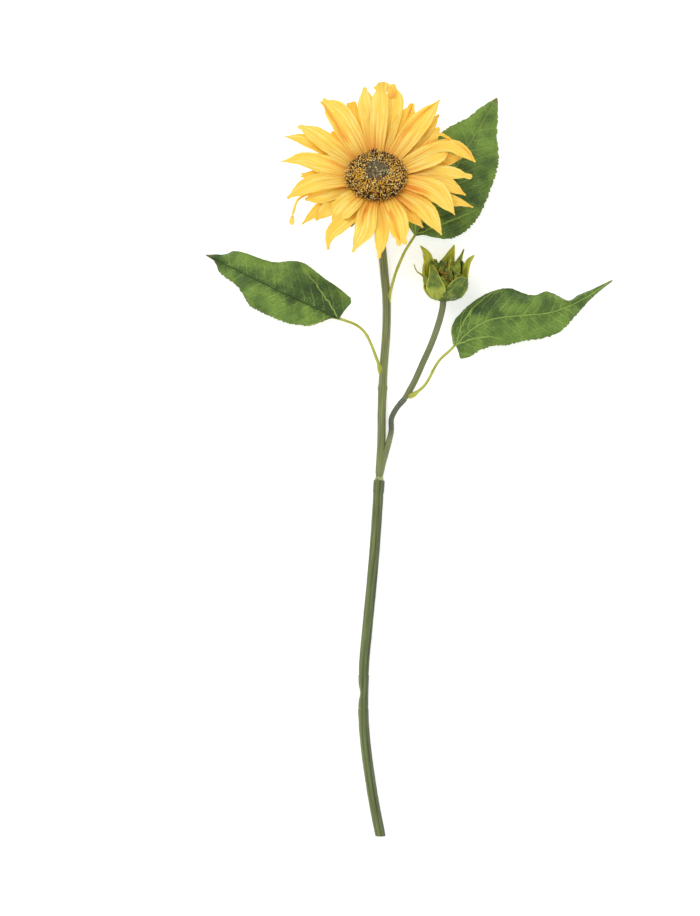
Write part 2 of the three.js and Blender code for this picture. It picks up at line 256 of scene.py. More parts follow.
class Finish:
    """A material as it is put together, round one Principled surface."""

    def __init__(self, name, roughness, **surface):
        self.material = bpy.data.materials.new(name)
        self.material.use_nodes = True
        self.material.node_tree.nodes.clear()
        plain = {socket.replace("_", " "): value for socket, value in surface.items()}
        self.surface = self.add("BsdfPrincipled", {"Roughness": roughness, **plain})
        self.add("OutputMaterial", {"Surface": self.surface})

    def add(self, kind, inputs=(), stops=(), **settings):
        """Adds a node. Inputs come in order, or in a dict by name or number; stops fill a ramp."""
        node = self.material.node_tree.nodes.new("ShaderNode" + kind)
        for name, value in settings.items():
            setattr(node, name, value)
        self.fill(node, inputs if isinstance(inputs, dict) else dict(enumerate(inputs)))
        for k, (place, colour) in enumerate(stops):
            ramp = node.color_ramp.elements
            stop = ramp[k] if k < 2 else ramp.new(place)
            stop.position, stop.color = place, colour
        return node

    def fill(self, node, inputs):
        """Links each input that is given a node or a socket, and sets any other."""
        for key, value in inputs.items():
            if isinstance(value, bpy.types.Node):
                value = value.outputs[MAIN_OUTPUTS.get(value.bl_idname, 0)]
            if isinstance(value, bpy.types.NodeSocket):
                self.material.node_tree.links.new(value, node.inputs[key])
            else:
                node.inputs[key].default_value = value

    def parts(self, attribute):
        """The three numbers of an attribute of the piece."""
        return self.add("SeparateXYZ", [self.add("Attribute", attribute_name=attribute)]).outputs

    def streaks(self, cells, detail=3.0):
        """Noise that follows the piece's weave, with so many cells to a millimetre each way."""
        drawn = self.add("Mapping", {"Vector": self.add("Attribute", attribute_name=WEAVE), "Scale": cells})
        return self.add("TexNoise", {"Vector": drawn, "Scale": 1.0, "Detail": detail})

    def specks(self, cells, dark, light):
        """Noise with so many cells to a metre, and its colour between two (place, code) stops."""
        grain = self.add("TexNoise", {"Vector": self.add("TexCoord"), "Scale": cells})
        stops = [(place, linear(code)) for place, code in (dark, light)]
        return grain, self.add("ValToRGB", [grain], stops)

    def shifted(self, value, amount, base):
        """base + amount * (value - 0.5)"""
        less = self.add("Math", [value, 0.5], operation="SUBTRACT")
        return self.add("Math", [less, amount, base], operation="MULTIPLY_ADD")

    def dress(self, colour, relief=None, strength=1.0, depth=0.0, matt=None):
        """Gives the surface its colour, a relief this deep and a roughness that varies, and gives
        back the material."""
        inputs = {"Base Color": colour}
        if relief:
            inputs["Normal"] = self.add("Bump", {"Height": relief, "Strength": strength, "Distance": depth})
        if matt:
            inputs["Roughness"] = matt
        self.fill(self.surface, inputs)
        return self.material


def size(name, millimetres, description):
    return FloatProperty(name=name, description=description, default=millimetres * MM, unit="LENGTH")


def colour(name, code, description):
    return FloatVectorProperty(name=name, description=description, default=linear(code), size=4,
                               min=0, max=1, subtype="COLOR")


# ---- stems ----

class StemSettings(bpy.types.PropertyGroup):
    lower_radius: size("Lower stem radius", 4.7, "Radius of the thick ribbed stem")
    lower_ribs: IntProperty(name="Ribs", description="Ribs round the lower stem", default=7, min=3)
    rib_height: size("Rib height", 0.32, "How far the ribs of the lower stem stand out")
    upper_radius: size("Upper stem radius", 3.85, "Radius of the stem that carries the bloom")
    branch_radius: size("Branch radius", 2.6, "Radius of the arm that carries the bud")
    bud_stem_radius: size("Bud stem radius", 2.9, "Radius of the bud's own stem")
    stalk_radius: size("Leaf stalk radius", 1.3, "Radius of the thin stalk of a leaf")
    # The groove colours of the stems hold painted shade, and the rib colours a painted highlight.
    lower_dark: colour("Lower stem groove", "3e4722", "Plastic in the grooves of the lower stem")
    lower_light: colour("Lower stem rib", "6e793f", "Plastic on the ribs of the lower stem")
    upper_dark: colour("Upper stem groove", "5f6439", "Plastic in the grooves of the upper stem")
    upper_light: colour("Upper stem rib", "878c50", "Plastic on the ribs of the upper stem")
    sleeve: colour("Sleeve", "50583e", "Glossy sleeving over the branch")
    bud_dark: colour("Bud stem groove", "585d38", "Plastic in the grooves of the bud's stem")
    bud_light: colour("Bud stem rib", "7f8453", "Plastic on the ribs of the bud's stem")
    stalk_dark: colour("Leaf stalk shade", "97982f", "Darker plastic of the leaf stalks")
    stalk_light: colour("Leaf stalk", "bfc450", "Lighter plastic of the leaf stalks")


LOWER_STEM = [
    (-25.6, -356, 5.47), (-34.9, -306, 5.47), (-41.9, -248, 5.47), (-41.9, -195, 5.47),
    (-39.1, -161, 5.47), (-34.9, -117, 5.47), (-31.2, -72, 5.47), (-27.9, -20, 5.47),
]
UPPER_STEM = [
    (-28.7, -32.5, 5.47), (-27.9, -20, 5.47), (-25.8, 16.9, 5.2), (-25.4, 45, 4.8), (-23.8, 82, 4.4),
    (-21.2, 119, 4.1), (-21, 149, 3.98), (-22.9, 171, 3.98), (-24.9, 193, 4), (-26.9, 212, 4),
    (-28.3, 228, 4.2), (-29.3, 238, 6.2), (-29.9, 245, 9.8), (-30.2, 248.6, 14.6), (-30.2, 250.5, 20.4),
]
BRANCH = [
    (-26.4, -18, 5), (-25, -6, 5.2), (-22.2, 5, 5.6), (-18.9, 15.7, 6.3), (-16.6, 26, 7),
    (-16.4, 37, 7.8), (-11.8, 46.6, 8.8), (-4.6, 55.2, 10),
]
BUD_STEM = [
    (-4.4, 55.5, 10), (3.9, 69.7, 11), (12.2, 88, 13), (20.4, 106.5, 16), (26.6, 124, 19),
    (30.2, 138, 21.2), (31.2, 145.5, 21.5),
]
STALKS = {
    "left": [
        (-25.2, 77, 4.8), (-28.4, 87.6, 8.5), (-31.5, 96, 11), (-36.3, 108, 14), (-42, 117.6, 16),
        (-50, 124, 17.2), (-66.4, 130, 17.4), (-78, 135, 18.6),
    ],
    "right": [
        (-1, 56.8, 10.8), (6.5, 61.2, 13), (13.9, 67.6, 16), (19.2, 76, 18), (23.4, 84.5, 19.3),
        (28.6, 92, 20), (38.4, 101, 20), (46, 110, 20.4),
    ],
    "top": [
        (-21, 141, 4), (-17.4, 155, 7.4), (-12.6, 172, 10.6), (-4.5, 191, 12.8), (4.8, 206, 13.6),
        (11, 216, 14),
    ],
}
KNUCKLES = (0.37, 0.464)  # shares of the lower stem's length, from its foot
SOCKET_STARTS = 0.965
SOCKET_DEPTH = 8 * MM
PEG_ENDS = 0.06  # share of the upper stem's length that is in the socket
GLUE_STARTS, GLUE_REACH = 0.036, 0.019  # shares of the upper stem's length
SLEEVE_STARTS = 0.42  # share of the branch's length where its fluted foot ends
STEM_ROUGHNESS = 0.5
WIRE_RADIUS = 1.1 * MM


def fluting(count, twist=0.0):
    """Ribs round a limb: from 0 in a groove to 1 on a rib, with broad ribs and narrow grooves,
    turned by twist radians at the limb's end."""

    def at(t, angle):
        return abs(math.cos(count / 2 * (angle + twist * t))) ** 0.6

    return at


def lumps(t, angle, pace, key=0.0, across=1.0):
    """Unevenness round and along a limb."""
    return wobble(math.cos(angle) * across, math.sin(angle) * across, t * pace + key)


def stem_plastic(name, dark, light, left_highlight=0.0):
    """Polyethylene, extruded in a ribbed die: streaks run its whole length, paler on the ribs as a painted
    highlight and darker in the grooves as painted shade, and the surface has a soft, waxy shine. The last
    argument is painted light: how much paler it is painted on its left than on its right."""
    look = Finish(name, STEM_ROUGHNESS)
    rib = look.parts(PATTERN)[0]
    ring = look.parts(WEAVE)[0]
    # Streaks about 1 mm wide round the stem and tens of millimetres long.
    streak = look.streaks((3.2, 3.2, 0.03), 4.0)
    # Blotches where the colour was mixed unevenly, about 25 mm long.
    blotch = look.streaks((0.7, 0.7, 0.04), 2.0)
    # Painted highlight on the ribs, painted shade in the grooves.
    raised = look.add("Math", [rib, 0.36], operation="MULTIPLY")
    # Painted light: the stem is paler on its left, the side towards the key lamp.
    raised = look.add("Math", [ring, -left_highlight, raised], operation="MULTIPLY_ADD")
    share = look.add("Math", [streak, 0.85, raised], operation="MULTIPLY_ADD")
    ramp = look.add("ValToRGB", [share], stops=((0.28, shaded(dark, 0.55)), (0.9, light), (0.45, dark)))
    value = look.add("MapRange", [blotch, 0.3, 0.7, 0.86, 1.12])
    blotched = look.add("HueSaturation", {"Color": ramp, "Value": value})
    matt = look.add("MapRange", [streak, 0.3, 0.7, STEM_ROUGHNESS + 0.1, STEM_ROUGHNESS - 0.08])
    return look.dress(blotched, streak, 0.5, 0.25 * MM, matt)


def lower_stem_radius(settings, ribbed):
    """Ribbed, with a ledge and a waist above each knuckle and a lip round its socket."""

    def at(t, angle):
        radius = settings.lower_radius + settings.rib_height * (ribbed(t, angle) - 0.55)
        for knuckle in KNUCKLES:
            above = t - knuckle
            if above >= 0:
                radius -= 0.3 * MM * math.exp(-above / 0.016)
            else:
                radius += 0.2 * MM * math.exp(above / 0.012)
        side = 1.7 * MM * min(math.cos(angle), 0) * bump(t, sum(KNUCKLES) / 2 - 0.003, 0.02)
        lip = 0.42 * MM * smooth(SOCKET_STARTS - 0.001, SOCKET_STARTS + 0.001, t)
        return radius + side + lip + 0.12 * MM * lumps(t, angle, 40)

    return at


class SUNFLOWER_OT_lower_stem(bpy.types.Operator):
    """Makes the ribbed lower stem, its open socket and the wire in its cut end"""
    bl_idname = "sunflower.lower_stem"
    bl_label = "Lower stem"

    def execute(self, context):
        settings = context.scene.sunflower_stems
        route = Route(LOWER_STEM)
        cut = CAD_BOX[0][1]
        ribbed = fluting(settings.lower_ribs, twist=0.9)
        bm = start_mesh()
        radius_at = lower_stem_radius(settings, ribbed)
        _, mouth = tube(bm, route, radius_at, sides=84, rings=420, mark=ribbed)
        wall = settings.lower_radius - settings.upper_radius
        bmesh.ops.inset_region(bm, faces=[mouth], thickness=wall, use_even_offset=True)
        floor = bmesh.ops.extrude_face_region(bm, geom=[mouth])
        bmesh.ops.delete(bm, geom=[mouth], context="FACES_ONLY")
        inward = route.frame(1.0)[1] * -SOCKET_DEPTH
        bmesh.ops.translate(bm, vec=inward, verts=only(bmesh.types.BMVert, floor["geom"]))
        # The stem is cut level across its foot.
        ends = bmesh.ops.bisect_plane(bm, geom=bm.verts[:] + bm.edges[:] + bm.faces[:], dist=0.001 * MM,
                                      plane_co=(0, cut, 0), plane_no=(0, -1, 0), clear_outer=True)
        bmesh.ops.holes_fill(bm, edges=only(bmesh.types.BMEdge, ends["geom_cut"]), sides=0)
        # The lower stem gets painted light on its left.
        plastic = stem_plastic("Ribbed polyethylene, dark green", settings.lower_dark, settings.lower_light,
                               left_highlight=0.2)
        finish(bm, "lower_stem_moulding", plastic, ["lower_stem"])

        bm = start_mesh()
        foot = next(place for place in route.places if place.y > cut)
        line = [Vector((foot.x, cut - 0.4 * MM, foot.z)), route.at(0.03)]
        wire = Route([point / MM for point in line])
        tube(bm, wire, lambda t, angle: WIRE_RADIUS, sides=20, rings=4)
        # Sawn iron: bare grey metal with brown rust in its pits.
        steel = Finish("Iron wire, cut", 0.38, Metallic=1.0)
        _, rusted = steel.specks(1800.0, (0.35, "5a4a40"), (0.65, "9a958f"))
        finish(bm, "lower_stem_wire", steel.dress(rusted))
        return {"FINISHED"}


def upper_stem_radius(settings, fluted):
    """Fluted, with a peg in the socket and a small node above the fork."""

    def at(t, angle):
        node = 0.5 * MM * bump(t, 0.338, 0.008) + 0.35 * MM * bump(t, 0.322, 0.02)
        neck = 0.5 * MM * (1 - smooth(PEG_ENDS, PEG_ENDS + 0.008, t))
        rough = 0.1 * MM * lumps(t, angle, 30, 7)
        return settings.upper_radius + 0.16 * MM * (fluted(t, angle) - 0.6) + node - neck + rough

    return at


class SUNFLOWER_OT_upper_stem(bpy.types.Operator):
    """Makes the fluted upper stem and the glue where it is pushed into the lower one"""
    bl_idname = "sunflower.upper_stem"
    bl_label = "Upper stem"

    def execute(self, context):
        settings = context.scene.sunflower_stems
        route = Route(UPPER_STEM)
        fluted = fluting(11, twist=0.6)
        bm = start_mesh()
        radius_at = upper_stem_radius(settings, fluted)
        tube(bm, route, radius_at, sides=88, rings=300, start=0.02, mark=fluted, key=400)
        plastic = stem_plastic("Fluted polyethylene, olive", settings.upper_dark, settings.upper_light)
        finish(bm, "upper_stem_moulding", plastic, ["upper_stem"])

        def bead(t, angle):
            swell = math.sin(math.pi * min(max((t - GLUE_STARTS) / GLUE_REACH, 0), 1)) ** 0.5
            lump = lumps(t, angle, 60, across=2)
            return settings.upper_radius - 0.7 * MM + (0.75 + 0.3 * lump) * MM * swell

        bm = start_mesh()
        tube(bm, route, bead, sides=48, rings=18, start=GLUE_STARTS, stop=0.055)
        # Set clear from the gun and smeared, so light sinks into it and it shines.
        glue = Finish("Hot-melt glue, smeared", 0.3, Subsurface_Weight=0.4,
                      Subsurface_Radius=(1.0, 0.9, 0.6), Subsurface_Scale=1.2 * MM)
        _, clots = glue.specks(450.0, (0.35, "767d48"), (0.7, "bcc083"))
        finish(bm, "upper_stem_glue", glue.dress(clots))
        return {"FINISHED"}


def branch_sleeving(settings):
    """Soft PVC sleeving shrunk over the branch: fluted olive at the foot, then smooth, dark and
    glossy up to where the bud's stem is pushed in."""
    look = Finish("PVC sleeving, dark green", 0.3, Coat_Weight=0.5, Coat_Roughness=0.18)
    share = look.parts(PATTERN)[1]
    streak = look.streaks((3.0, 3.0, 0.06))
    olive = look.add("ValToRGB", [streak], stops=((0.3, settings.upper_dark), (0.7, settings.upper_light)))
    dark = look.add("ValToRGB", [streak],
                    stops=((0.3, shaded(settings.sleeve, 0.8)), (0.7, settings.sleeve)))
    sleeved = look.add("MapRange", [share, SLEEVE_STARTS, 0.62])
    both = look.add("Mix", {0: sleeved, 6: olive, 7: dark}, data_type="RGBA")
    matt = look.add("MapRange", [share, SLEEVE_STARTS, 0.6, 0.5, 0.24])
    return look.dress(both, streak, 0.25, 0.2 * MM, matt)


class SUNFLOWER_OT_bud_branch(bpy.types.Operator):
    """Makes the sleeved branch and the bud's stem"""
    bl_idname = "sunflower.bud_branch"
    bl_label = "Branch and bud stem"

    def execute(self, context):
        settings = context.scene.sunflower_stems
        branch_fluting, bud_fluting = fluting(9), fluting(10, twist=0.5)

        def branch_radius(t, angle):
            foot = 0.7 * MM * bump(t, 0.25, 0.16) - 0.8 * MM * (1 - smooth(0, 0.12, t))
            flute = 0.12 * MM * (branch_fluting(t, angle) - 0.5) * (1 - smooth(0.4, 0.6, t))
            sleeve = 0.2 * MM * smooth(0.9, 0.93, t)
            return settings.branch_radius + foot + flute + sleeve

        def bud_stem_radius(t, angle):
            flute = 0.15 * MM * (bud_fluting(t, angle) - 0.5)
            foot = 0.35 * MM * (1 - smooth(0.05, 0.09, t))
            return settings.bud_stem_radius + flute - foot

        bm = start_mesh()
        tube(bm, Route(BRANCH), branch_radius, sides=64, rings=120, mark=branch_fluting, key=900)
        finish(bm, "bud_branch_sleeving", branch_sleeving(settings), ["bud_branch"])
        bm = start_mesh()
        tube(bm, Route(BUD_STEM), bud_stem_radius, sides=64, rings=160, start=-0.03, mark=bud_fluting,
             key=1200)
        plastic = stem_plastic("Fluted polyethylene, grey olive", settings.bud_dark, settings.bud_light)
        finish(bm, "bud_stem_moulding", plastic, ["bud_stem"])
        return {"FINISHED"}


def stalk_plastic(settings):
    """Thin polyethylene, injection moulded: yellow-green, paler where light comes through, with a brown
    tinge in streaks and a waxy shine."""
    look = Finish("Moulded polyethylene, yellow-green", 0.42, Subsurface_Weight=0.25,
                  Subsurface_Scale=1.5 * MM, Subsurface_Radius=(0.9, 1.0, 0.3))
    streak = look.streaks((1.3, 1.3, 0.09))
    tint = look.add("ValToRGB", [streak], stops=((0.3, settings.stalk_dark), (0.62, settings.stalk_light),
                                                 (0.2, linear("8a6f33"))))
    return look.dress(tint, streak, 0.4, 0.2 * MM)


class SUNFLOWER_OT_leaf_stalks(bpy.types.Operator):
    """Makes the three leaf stalks with the flat clasps at their feet"""
    bl_idname = "sunflower.leaf_stalks"
    bl_label = "Leaf stalks"

    def execute(self, context):
        settings = context.scene.sunflower_stems
        plastic = stalk_plastic(settings)

        def stalk_radius(t, angle):
            clasp = 1.25 * MM * smooth(0, 0.035, t) * (1 - smooth(0.06, 0.17, t))
            seam = 0.12 * MM * abs(math.cos(angle)) ** 8
            knot = 0.25 * MM * bump(t, 0.47, 0.015)
            return settings.stalk_radius * (1 - 0.15 * t) + clasp * abs(math.cos(angle)) + seam + knot

        for side, points in STALKS.items():
            bm = start_mesh()
            tube(bm, Route(points), stalk_radius, sides=28, rings=110, flat=0.85, key=60 * len(side))
            finish(bm, "stalk_" + side, plastic, ["petiole_" + side])
        return {"FINISHED"}


# ---- leaves ----

class LeafSettings(bpy.types.PropertyGroup):
    thickness: size("Cloth thickness", 0.45, "Thickness of the stiffened leaf cloth")
    rib_radius: size("Wire rib radius", 1.0, "Radius of the moulded rib under a leaf")
    dark: colour("Leaf shade", "3c5620", "Deepest green of the printed cloth")
    middle: colour("Leaf green", "6b8a33", "Main green of the printed cloth")
    vein: colour("Leaf vein", "a0b955", "Printed veins")
    edge: colour("Cut edge", "8a7040", "Frayed and browned cut edge")


class Leaf(NamedTuple):
    """A leaf walked from foot to tip, in millimetres unless a line says otherwise."""
    midrib: list
    right: list  # (share of its length, width) to the right of the midrib
    left: list  # the same to the left
    fold: float  # how steeply its halves rise from the midrib
    teeth: tuple  # depths of the teeth on its right and left edges
    pitch: float  # from tooth to tooth
    veins: float  # from one side vein to the next
    slant: float  # how far a side vein runs forwards for each millimetre outwards
    arms: tuple  # the same for the two long veins that leave its foot
    roll: tuple  # how far its right and left edges curl down
    sweep: tuple  # how far the right and left corners of its foot lie back
    rib: float  # 1 for a pale midrib, 0 for one lost in a crease darkened with painted shade
    shade: tuple  # a patch of painted shade: share along, share across, and how far it reaches
    waves: tuple  # height, length and start of the waves along its edges
    tone: float = 0.0  # how much paler it is printed


LEAVES = {
    "left": Leaf(
        midrib=[(-65, 129, 19.6), (-89.4, 140.3, 22.4), (-114, 151.4, 22), (-140, 164.7, 15),
                (-167, 178.3, 6), (-189, 189.8, 0.9)],
        right=[(0, 22), (0.1, 25.5), (0.2, 28), (0.35, 33), (0.45, 30), (0.55, 22.5), (0.65, 19.5),
               (0.75, 18), (0.84, 15), (0.89, 8.5), (0.95, 4.5), (1, 0.6)],
        left=[(0, 1), (0.05, 3), (0.1, 10), (0.16, 17), (0.22, 20), (0.3, 23), (0.4, 24), (0.55, 24),
              (0.62, 19.5), (0.7, 13), (0.8, 10), (0.86, 8.3), (0.9, 4), (0.94, 1.2), (1, 0.6)],
        fold=0.2, teeth=(0.3, 2.3), pitch=4.2, veins=10, slant=0.55, arms=(0.6, 0.75),
        roll=(4.5, 1.5), sweep=(5, 0), rib=0, shade=(0.2, 0.5, 0.22), waves=(2.2, 62, 0.2)),
    "right": Leaf(
        midrib=[(42.4, 104, 22.4), (55.4, 117.6, 24.4), (74.4, 128, 25), (102, 132, 22.6),
                (130, 135, 16), (158.7, 146.6, 6.4), (189, 166, 0.9)],
        right=[(0, 12), (0.04, 16), (0.1, 18.5), (0.2, 22.5), (0.3, 25.5), (0.4, 23.5), (0.5, 22.5),
               (0.6, 19), (0.7, 11.5), (0.8, 5), (0.87, 2.5), (1, 0.6)],
        left=[(0, 3), (0.04, 11), (0.1, 16.5), (0.2, 21), (0.3, 25.5), (0.38, 25.5), (0.46, 19.5),
              (0.52, 18), (0.6, 20), (0.66, 15), (0.73, 5), (0.8, 5.5), (0.88, 3.5), (1, 0.6)],
        fold=0.2, teeth=(2.4, 0.8), pitch=6.4, veins=9, slant=0.7, arms=(0.42, 0.5), roll=(1.5, 7),
        sweep=(8, 2), rib=1, shade=(0.22, -0.72, 0.2), waves=(1.8, 70, 0.6)),
    "top": Leaf(
        midrib=[(5.4, 207, 15.8), (17.7, 227.5, 17), (31.5, 249.7, 16.6), (45.4, 273, 13.4),
                (60.4, 299.4, 8), (82, 335.4, 0.9)],
        right=[(0, 2), (0.04, 9.5), (0.07, 22), (0.1, 28.5), (0.15, 34.5), (0.2, 38), (0.3, 40.5),
               (0.42, 38.5), (0.5, 36), (0.6, 33), (0.7, 26.5), (0.8, 17), (0.87, 11), (0.95, 5), (1, 0.7)],
        left=[(0, 2), (0.04, 12), (0.1, 22), (0.2, 30), (0.35, 32), (0.5, 32), (0.6, 29), (0.7, 22),
              (0.8, 13.5), (0.9, 8), (1, 0.7)],
        fold=0.1, teeth=(3.2, 2.4), pitch=5.4, veins=12, slant=0.75, arms=(0.75, 0.6), roll=(2.5, 2),
        sweep=(3, 3), rib=0.7, shade=(0.35, 0.4, 0.4), waves=(1.6, 48, 0.1), tone=0.16),
}
LEAF_CLEARANCE = 0.6 * MM  # between a leaf and what it lies on


def tooth(along, pitch):
    """A saw tooth that slopes out towards the leaf's tip, from -0.5 to 0.5, of uneven length."""
    along += 0.9 * wobble(along / pitch * 0.9, 3, 1) * pitch
    share = along / pitch % 1
    return share / 0.82 - 0.5 if share < 0.82 else 0.5 - (share - 0.82) / 0.18


def vein_phase(leaf, along, across):
    """Whole numbers lie on the side veins of a leaf, which curve towards its tip."""
    out = abs(across)
    side = 0.5 * smooth(0, 1.5, across)
    return (along - leaf.slant * out - 0.012 * out * out) / leaf.veins + side


def leaf_place(leaf):
    """How a leaf's sheet lies: raised from its midrib, waved and curled down at its edges."""
    route = Route(leaf.midrib)
    right, left = profile(leaf.right), profile(leaf.left)
    height, wave, start = leaf.waves

    def place(u, v):
        along = u * route.length / MM
        reach = right(u) if v > 0 else left(u)
        deep = leaf.teeth[0] if v > 0 else leaf.teeth[1]
        # Teeth fade out at the tip and where the leaf is narrow.
        deep *= min(reach / 9, 1) * smooth(0.02, 0.06, u)
        edge = abs(v) ** 7
        across = v * reach + math.copysign(deep * edge * tooth(along + reach * 0.4, leaf.pitch), v)
        out = abs(across)
        point, forward, aside, above = route.frame(u)
        back = leaf.sweep[0 if v > 0 else 1] * (1 - smooth(0, 0.3, u)) * abs(v) ** 1.5 * min(reach / 14, 1)
        back -= 0.16 * reach * smooth(0.75, 1, abs(v)) ** 2 * (1 - smooth(0, 0.12, u))  # rounded corners
        rise = leaf.fold * out
        rise -= (leaf.roll[0] if v > 0 else leaf.roll[1]) * smooth(0.55, 1, abs(v)) * smooth(0, 0.1, u)
        rise += height * abs(v) ** 2 * math.sin(TURN * (along / wave + start + 0.3 * (v > 0)))
        quilt = math.cos(TURN * vein_phase(leaf, along, across)) * smooth(1, 6, out) * smooth(0, 0.1, 1 - u)
        rise -= 0.5 * quilt
        rise += 0.9 * wobble(along * 0.06, across * 0.09, reach * 0.01)
        rise -= 0.8 * bump(out, 0, 1.6)  # the midrib lies in a groove
        point = point + aside * (across * MM) + above * (rise * MM) - forward * (back * MM)
        point.z = max(point.z, LEAF_CLEARANCE)
        # Painted shade: a patch where the cloth is darkened, kept in the pattern's third number.
        dark_u, dark_v, dark_reach = leaf.shade
        shade = math.exp(-((u - dark_u) ** 2 + 0.3 * (v - dark_v) ** 2) / dark_reach ** 2)
        return point, (vein_phase(leaf, along, across), u, shade), (along, across, edge)

    return place


def leaf_cloth(name, leaf, settings):
    """Printed polyester cloth, heat-set and stiffened: mid green with paler printed veins, a faint
    net between them that is pressed into the cloth, and a matt surface."""
    look = Finish(name, 0.6, Specular_IOR_Level=0.35)
    add = look.add
    along, across, rim = look.parts(WEAVE)
    phase, share, shade = look.parts(PATTERN)
    flat = add("CombineXYZ", [along, across])
    # The veins wander by a millimetre or two, and fade in and out.
    wander = add("TexNoise", {"Vector": flat, "Scale": 0.14, "Detail": 2.0})
    patches = add("TexNoise", {"Vector": flat, "Scale": 0.05, "Detail": 2.0})

    def line(value, width):
        """1 on the line where value is 0, fading out over width."""
        return add("MapRange", [add("Math", [value], operation="ABSOLUTE"), width, 0.3 * width])

    middle = line(look.shifted(wander, 1.5, across), 0.9)
    halfway = add("Math", [look.shifted(wander, 0.5, phase), 0.5], operation="ADD")
    beside = add("Math", [add("Math", [halfway], operation="FRACT"), 0.5], operation="SUBTRACT")
    out = add("Math", [across], operation="ABSOLUTE")
    faded = add("MapRange", [patches, 0.38, 0.6, 0.15, 0.55 + 0.3 * leaf.rib])
    widest = max(reach for _, reach in leaf.right + leaf.left)
    outer = add("MapRange", [out, widest, 0.3 * widest, 0.5, 1.0])
    sides = add("Math", [line(beside, 0.7 / leaf.veins), outer], operation="MULTIPLY")
    sides = add("Math", [sides, faded], operation="MULTIPLY")
    arms = []
    for sign, slope in zip((1, -1), leaf.arms):
        straight_arm = add("Math", [along, slope * sign], operation="MULTIPLY")
        swayed = look.shifted(wander, 4.0, straight_arm)
        arms.append(line(add("Math", [across, swayed], operation="SUBTRACT"), 0.85))
    arms = add("Math", arms, operation="MAXIMUM")
    arms = add("Math", [arms, add("MapRange", [along, 62.0, 30.0, 0.0, 0.85])], operation="MULTIPLY")

    # The net: soft looping lines about 2.5 mm apart that show mostly in patches, and less in the painted
    # shade.
    bent = add("VectorMath", [wander.outputs["Color"], (7.0, 7.0, 0.0), flat], operation="MULTIPLY_ADD")
    loops = add("TexNoise", {"Vector": bent, "Scale": 0.4, "Detail": 1.0})
    ridge = add("Math", [add("Math", [loops, 0.5], operation="SUBTRACT")], operation="ABSOLUTE")
    shown = add("Math", [add("MapRange", [patches, 0.4, 0.6, 0.1, 0.36]),
                         add("MapRange", [shade, 0.0, 1.0, 1.0, 0.35])], operation="MULTIPLY")
    rings = add("Math", [add("MapRange", [ridge, 0.09, 0.0]), shown], operation="MULTIPLY")
    drawn = add("Math", [middle, 0.9 * leaf.rib], operation="MULTIPLY")
    for mark in (arms, sides, rings):
        drawn = add("Math", [drawn, mark], operation="MAXIMUM")

    # The print is uneven and darkened along the midrib as painted shade in its groove, and its threads show
    # as a fine mottle.
    speckle = add("TexNoise", {"Vector": flat, "Scale": 0.9, "Detail": 2.0})
    mottle = add("Math", [speckle, 0.5, patches], operation="MULTIPLY_ADD")
    sunk = add("MapRange", [out, 0.0, 9.0, -0.12 - 0.16 * (1 - leaf.rib), 0.0])
    mottle = add("Math", [mottle, sunk], operation="ADD")
    # Painted shade: the patch darkens the print.
    mottle = add("Math", [shade, -0.4, mottle], operation="MULTIPLY_ADD")
    mottle = add("Math", [mottle, leaf.tone], operation="ADD")
    ground = add("ValToRGB", [mottle], stops=((0.48, settings.dark), (0.86, settings.middle),
                                              (0.2, shaded(settings.dark, 0.55))))
    inked = add("Mix", {0: drawn, 6: ground, 7: settings.vein}, data_type="RGBA")
    # Painted shadow in the midrib's crease, strongest where the midrib is not pale.
    crease = add("Math", [middle, 0.75 * (1 - leaf.rib)], operation="MULTIPLY")
    creased = add("Mix", {0: crease, 6: inked, 7: shaded(settings.dark, 0.45)}, data_type="RGBA")
    browned = add("Math", [add("MapRange", [rim, 0.86, 1.0, 0.0, 0.7]),
                           add("MapRange", [share, 0.955, 0.99, 0.0, 0.8])], operation="MAXIMUM")
    worn = add("Mix", {0: browned, 6: creased, 7: settings.edge}, data_type="RGBA")

    # Veins stand up from the cloth, the net is pressed into it and the threads are 0.5 mm apart.
    threads = add("TexWave", {"Vector": flat, "Scale": 0.32, "Distortion": 1.0})
    relief = add("Math", [threads, 0.1, drawn], operation="MULTIPLY_ADD")
    relief = add("Math", [speckle, 0.6, relief], operation="MULTIPLY_ADD")
    return look.dress(worn, relief, 0.9, 0.4 * MM)


class SUNFLOWER_OT_leaves(bpy.types.Operator):
    """Makes the three cloth leaves and the moulded rib that is glued under each"""
    bl_idname = "sunflower.leaves"
    bl_label = "Leaves"

    def execute(self, context):
        settings = context.scene.sunflower_leaves
        stalk = stalk_plastic(context.scene.sunflower_stems)
        for side, leaf in LEAVES.items():
            bm = start_mesh()
            place = leaf_place(leaf)
            sheet(bm, columns=56, rows=210, place=place)
            thicken(bm, settings.thickness)
            cloth = leaf_cloth("Printed polyester leaf cloth, " + side, leaf, settings)
            finish(bm, f"leaf_{side}_cloth", cloth, ["leaf_" + side])

            bm = start_mesh()
            below = [place(k / 12, 0)[0] / MM - UP * 1.1 for k in range(9)]
            below = [(x, y, max(z, 1.0)) for x, y, z in below]
            tube(bm, Route(below), lambda t, angle: settings.rib_radius * (1 - 0.6 * t), sides=16, rings=60,
                 flat=0.8)
            finish(bm, f"leaf_{side}_rib", stalk)
        return {"FINISHED"}


# ---- bloom ----

